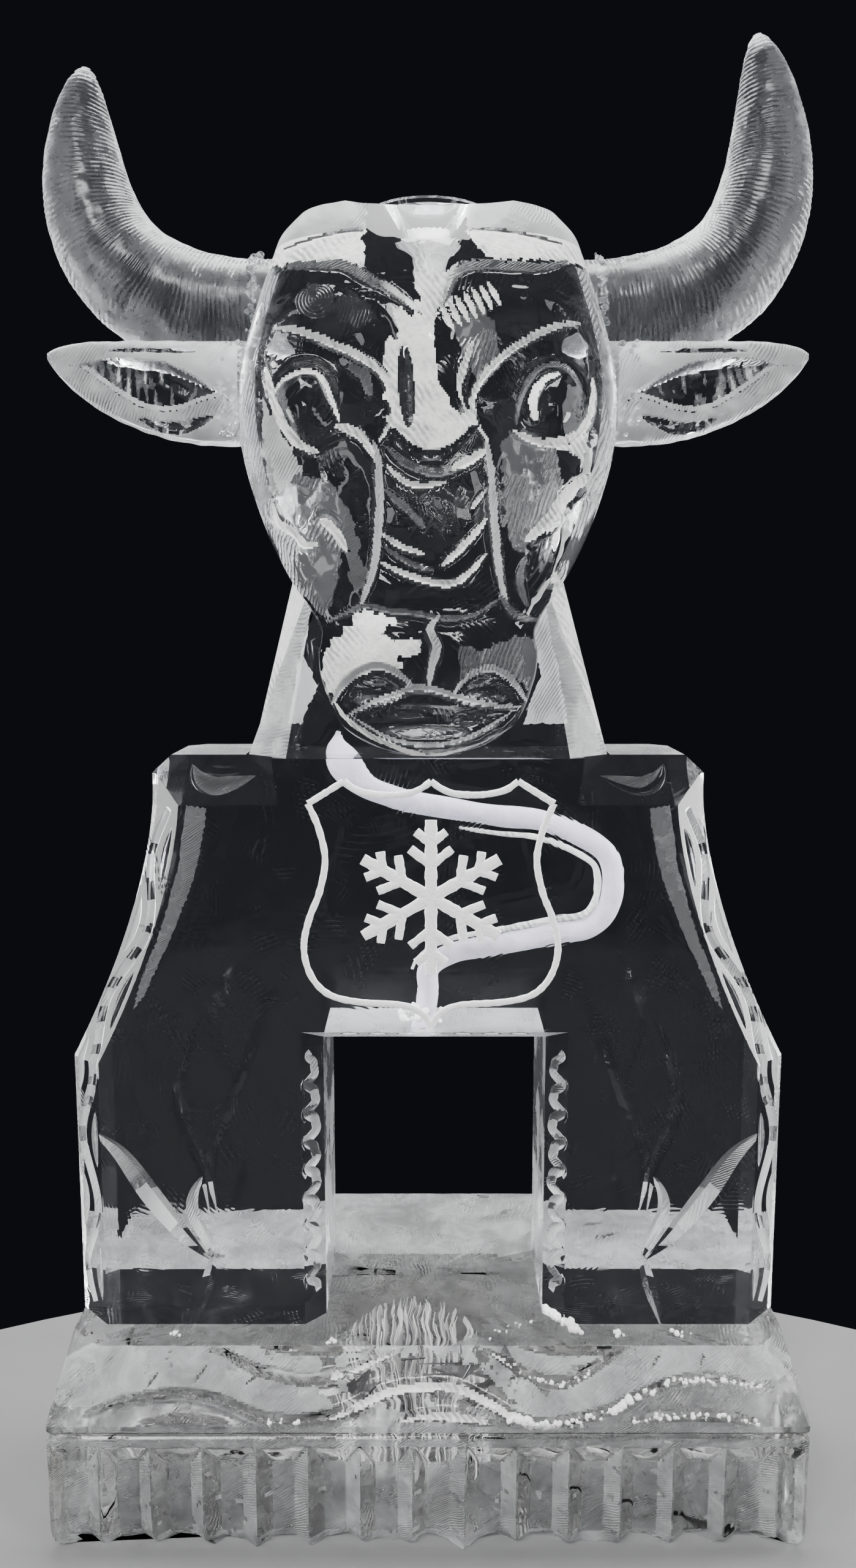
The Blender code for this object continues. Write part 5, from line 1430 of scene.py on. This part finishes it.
# Loose snow and slush
# Chips from the engraving lie on the ledge and in the waves of the plinth, and the joints of the
# horns and ears are packed with slush that froze in lumps.
LEDGE_EDGE, SPOUT_CHIPS, HORN_SLUSH, EAR_SLUSH, SLUSH_ROOT = -89, 22, 120, 110, 117
# Drifts on the ledge: from and to, across and back, how many chips, and the largest one's radius
DRIFTS = (
    ((85, -47), (106, -76), 46, 3.4), ((128, -77), (136, -80), 7, 2.6), ((170, -79), (180, -81), 6, 2.2),
    ((-180, -77), (-174, -78), 5, 2.0), ((-80, -88), (-66, -89), 6, 1.8), ((40, -80), (80, -60), 10, 1.4),
)
# Snow in the waves: the wave's number, from and to across, how many chips, and the largest one's radius
WAVE_SNOW = (
    (0, 36, 226, 120, 2.0), (0, 58, 72, 14, 3.2), (0, 120, 136, 16, 3.0), (5, 136, 224, 46, 1.7),
    (2, 62, 110, 26, 1.6), (0, -116, -84, 9, 2.0),
)


def lumps(name, places, sizes, material, seed):
    """Piece of many small frozen lumps that ride on the body and take the given material."""
    whole = bmesh.new()
    for place, size in zip(places, sizes):
        spot = Matrix.Translation(Vector(place) * MM)
        bmesh.ops.create_icosphere(whole, subdivisions=2, radius=size * MM, matrix=spot)
    for face in whole.faces:
        face.smooth = True
    mesh = bpy.data.meshes.new(name)
    whole.to_mesh(mesh)
    whole.free()
    spots = np.array([vert.co for vert in mesh.vertices]) / MM
    shift = 0.45 * np.stack([ripple(spots, 3.2, seed + i) for i in range(3)], 1)
    mesh.vertices.foreach_set("co", ((spots + shift) * MM).ravel())
    made = stand(name, mesh)
    paint(made, (material,))
    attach(made, "root")


dice = np.random.default_rng(70)
places, sizes = [], []
for start, end, count, big in DRIFTS:
    for share in dice.uniform(0, 1, count):
        size = big * dice.uniform(0.35, 1)
        x, y = np.array(start) * (1 - share) + np.array(end) * share + dice.normal(0, 2.2, 2)
        places.append((x, max(y, LEDGE_EDGE), PLINTH_TOP + 0.4 * size))
        sizes.append(size)
for wave, low_x, high_x, count, big in WAVE_SNOW:
    for x in dice.uniform(low_x, high_x, count):
        climb = curve(WAVES[wave], x) + dice.normal(0, 1.3)
        size = big * dice.uniform(0.35, 1)
        across = climb / math.sqrt(2)
        front = max(PLINTH_FRONT + across + 2.0 - 0.4 * size, PLINTH_FRONT + 1.5 * size)
        places.append((x, front, SLOPE_FOOT + across - 2.0 + 0.4 * size))
        sizes.append(size)
lumps("snow_chips", places, sizes, SNOW, 71)
places = dice.uniform((-20, -34, ARCH_TOP + 4), (16, -18, ARCH_TOP + 18), (SPOUT_CHIPS, 3))
lumps("snow_at_spout", places, dice.uniform(1.2, 3.2, SPOUT_CHIPS), SNOW, 72)
places, sizes = [], []
for side in (-1, 1):
    for _ in range(HORN_SLUSH):
        turn = dice.uniform(-0.2, 3.4)
        z = HORN_ROOT[1] - HORN_THICK / 2 * math.cos(turn)
        y = HORN_Y - HORN_THICK / 2 * abs(math.sin(turn))
        x = SLUSH_ROOT + dice.normal(0, 1.5)
        places.append((side * x, y + dice.uniform(0, 6), z + dice.normal(0, 2)))
        sizes.append(dice.uniform(0.8, 2.4))
    for _ in range(EAR_SLUSH):
        x, y = dice.uniform(SLUSH_ROOT, 140), EAR_FRONT + 3 + dice.uniform(-1, 7)
        places.append((side * x, y, dice.uniform(EAR_BOTTOM + 5, EAR_TOP - 1.5)))
        sizes.append(dice.uniform(0.6, 1.9))
lumps("slush", places, sizes, SATIN, 73)

# Studio
# A round pale table top under big soft lamps, in a dark room, so that clear ice reads dark and
# every frosted or turned edge catches light.
world = bpy.data.worlds.new("dark room")
world.use_nodes = True
world.node_tree.nodes["Background"].inputs["Color"].default_value = (0.012, 0.013, 0.016, 1)
bpy.context.scene.world = world
# Lamps: place, the height on the piece that each is aimed at, width and height, and power
LAMPS = (
    ("ceiling", (0, 0.35, 2.6), 0.5, (1.5, 0.8), 36),
    ("left wall", (-1.7, 0.1, 0.45), 0.4, (0.5, 0.9), 10),
    ("right wall", (1.7, 0.1, 0.45), 0.4, (0.5, 0.9), 16),
    ("front", (-0.5, -2.3, 2.5), 0.45, (1.2, 0.7), 50),
    ("left strip", (-1.7, -1.5, 1.0), 0.7, (0.35, 1.7), 12),
    ("right strip", (1.7, -1.5, 1.0), 0.7, (0.35, 1.7), 12),
)
for name, place, aim, size, power in LAMPS:
    light = bpy.data.lights.new(name, "AREA")
    light.shape = "RECTANGLE"
    light.size, light.size_y = size
    light.energy = power
    lamp = stand(name, light)
    lamp.location = place
    lamp.rotation_euler = (Vector((0, 0, aim)) - Vector(place)).to_track_quat("-Z", "Y").to_euler()
    lamp.visible_camera = False

FLOOR_RADIUS, FLOOR_MIDDLE, FLOOR_THICK, FLOOR_GAP = 900, (0, -690), 20, 0.2
floor = skin("floor", [circle(FLOOR_RADIUS, FLOOR_MIDDLE, z, 128) for z in (-FLOOR_THICK, -FLOOR_GAP)])
floor_paint = bpy.data.materials.new("pale floor")
floor_paint.use_nodes = True
shader = floor_paint.node_tree.nodes["Principled BSDF"]
shader.inputs["Base Color"].default_value = (0.3, 0.3, 0.3, 1)
shader.inputs["Roughness"].default_value = 0.7
paint(floor, (floor_paint,))

# The camera stands where the plinth's and the arch's edges put it. The picture's height and the
# focal length were measured in the same pixels.
PICTURE_TALL, FOCAL_LENGTH, SENSOR = 2000, 1511, 24
lens = bpy.data.cameras.new("camera")
lens.sensor_fit = "VERTICAL"
lens.sensor_height = SENSOR
lens.lens = SENSOR * FOCAL_LENGTH / PICTURE_TALL
camera = stand("camera", lens)
camera.location = (0, -0.846, 0.620)
camera.rotation_euler = (math.radians(82.2), 0, 0)
bpy.context.scene.camera = camera
view = bpy.context.scene.view_settings
view.view_transform = "AgX"
view.look = "AgX - High Contrast"
view.exposure = 0.25
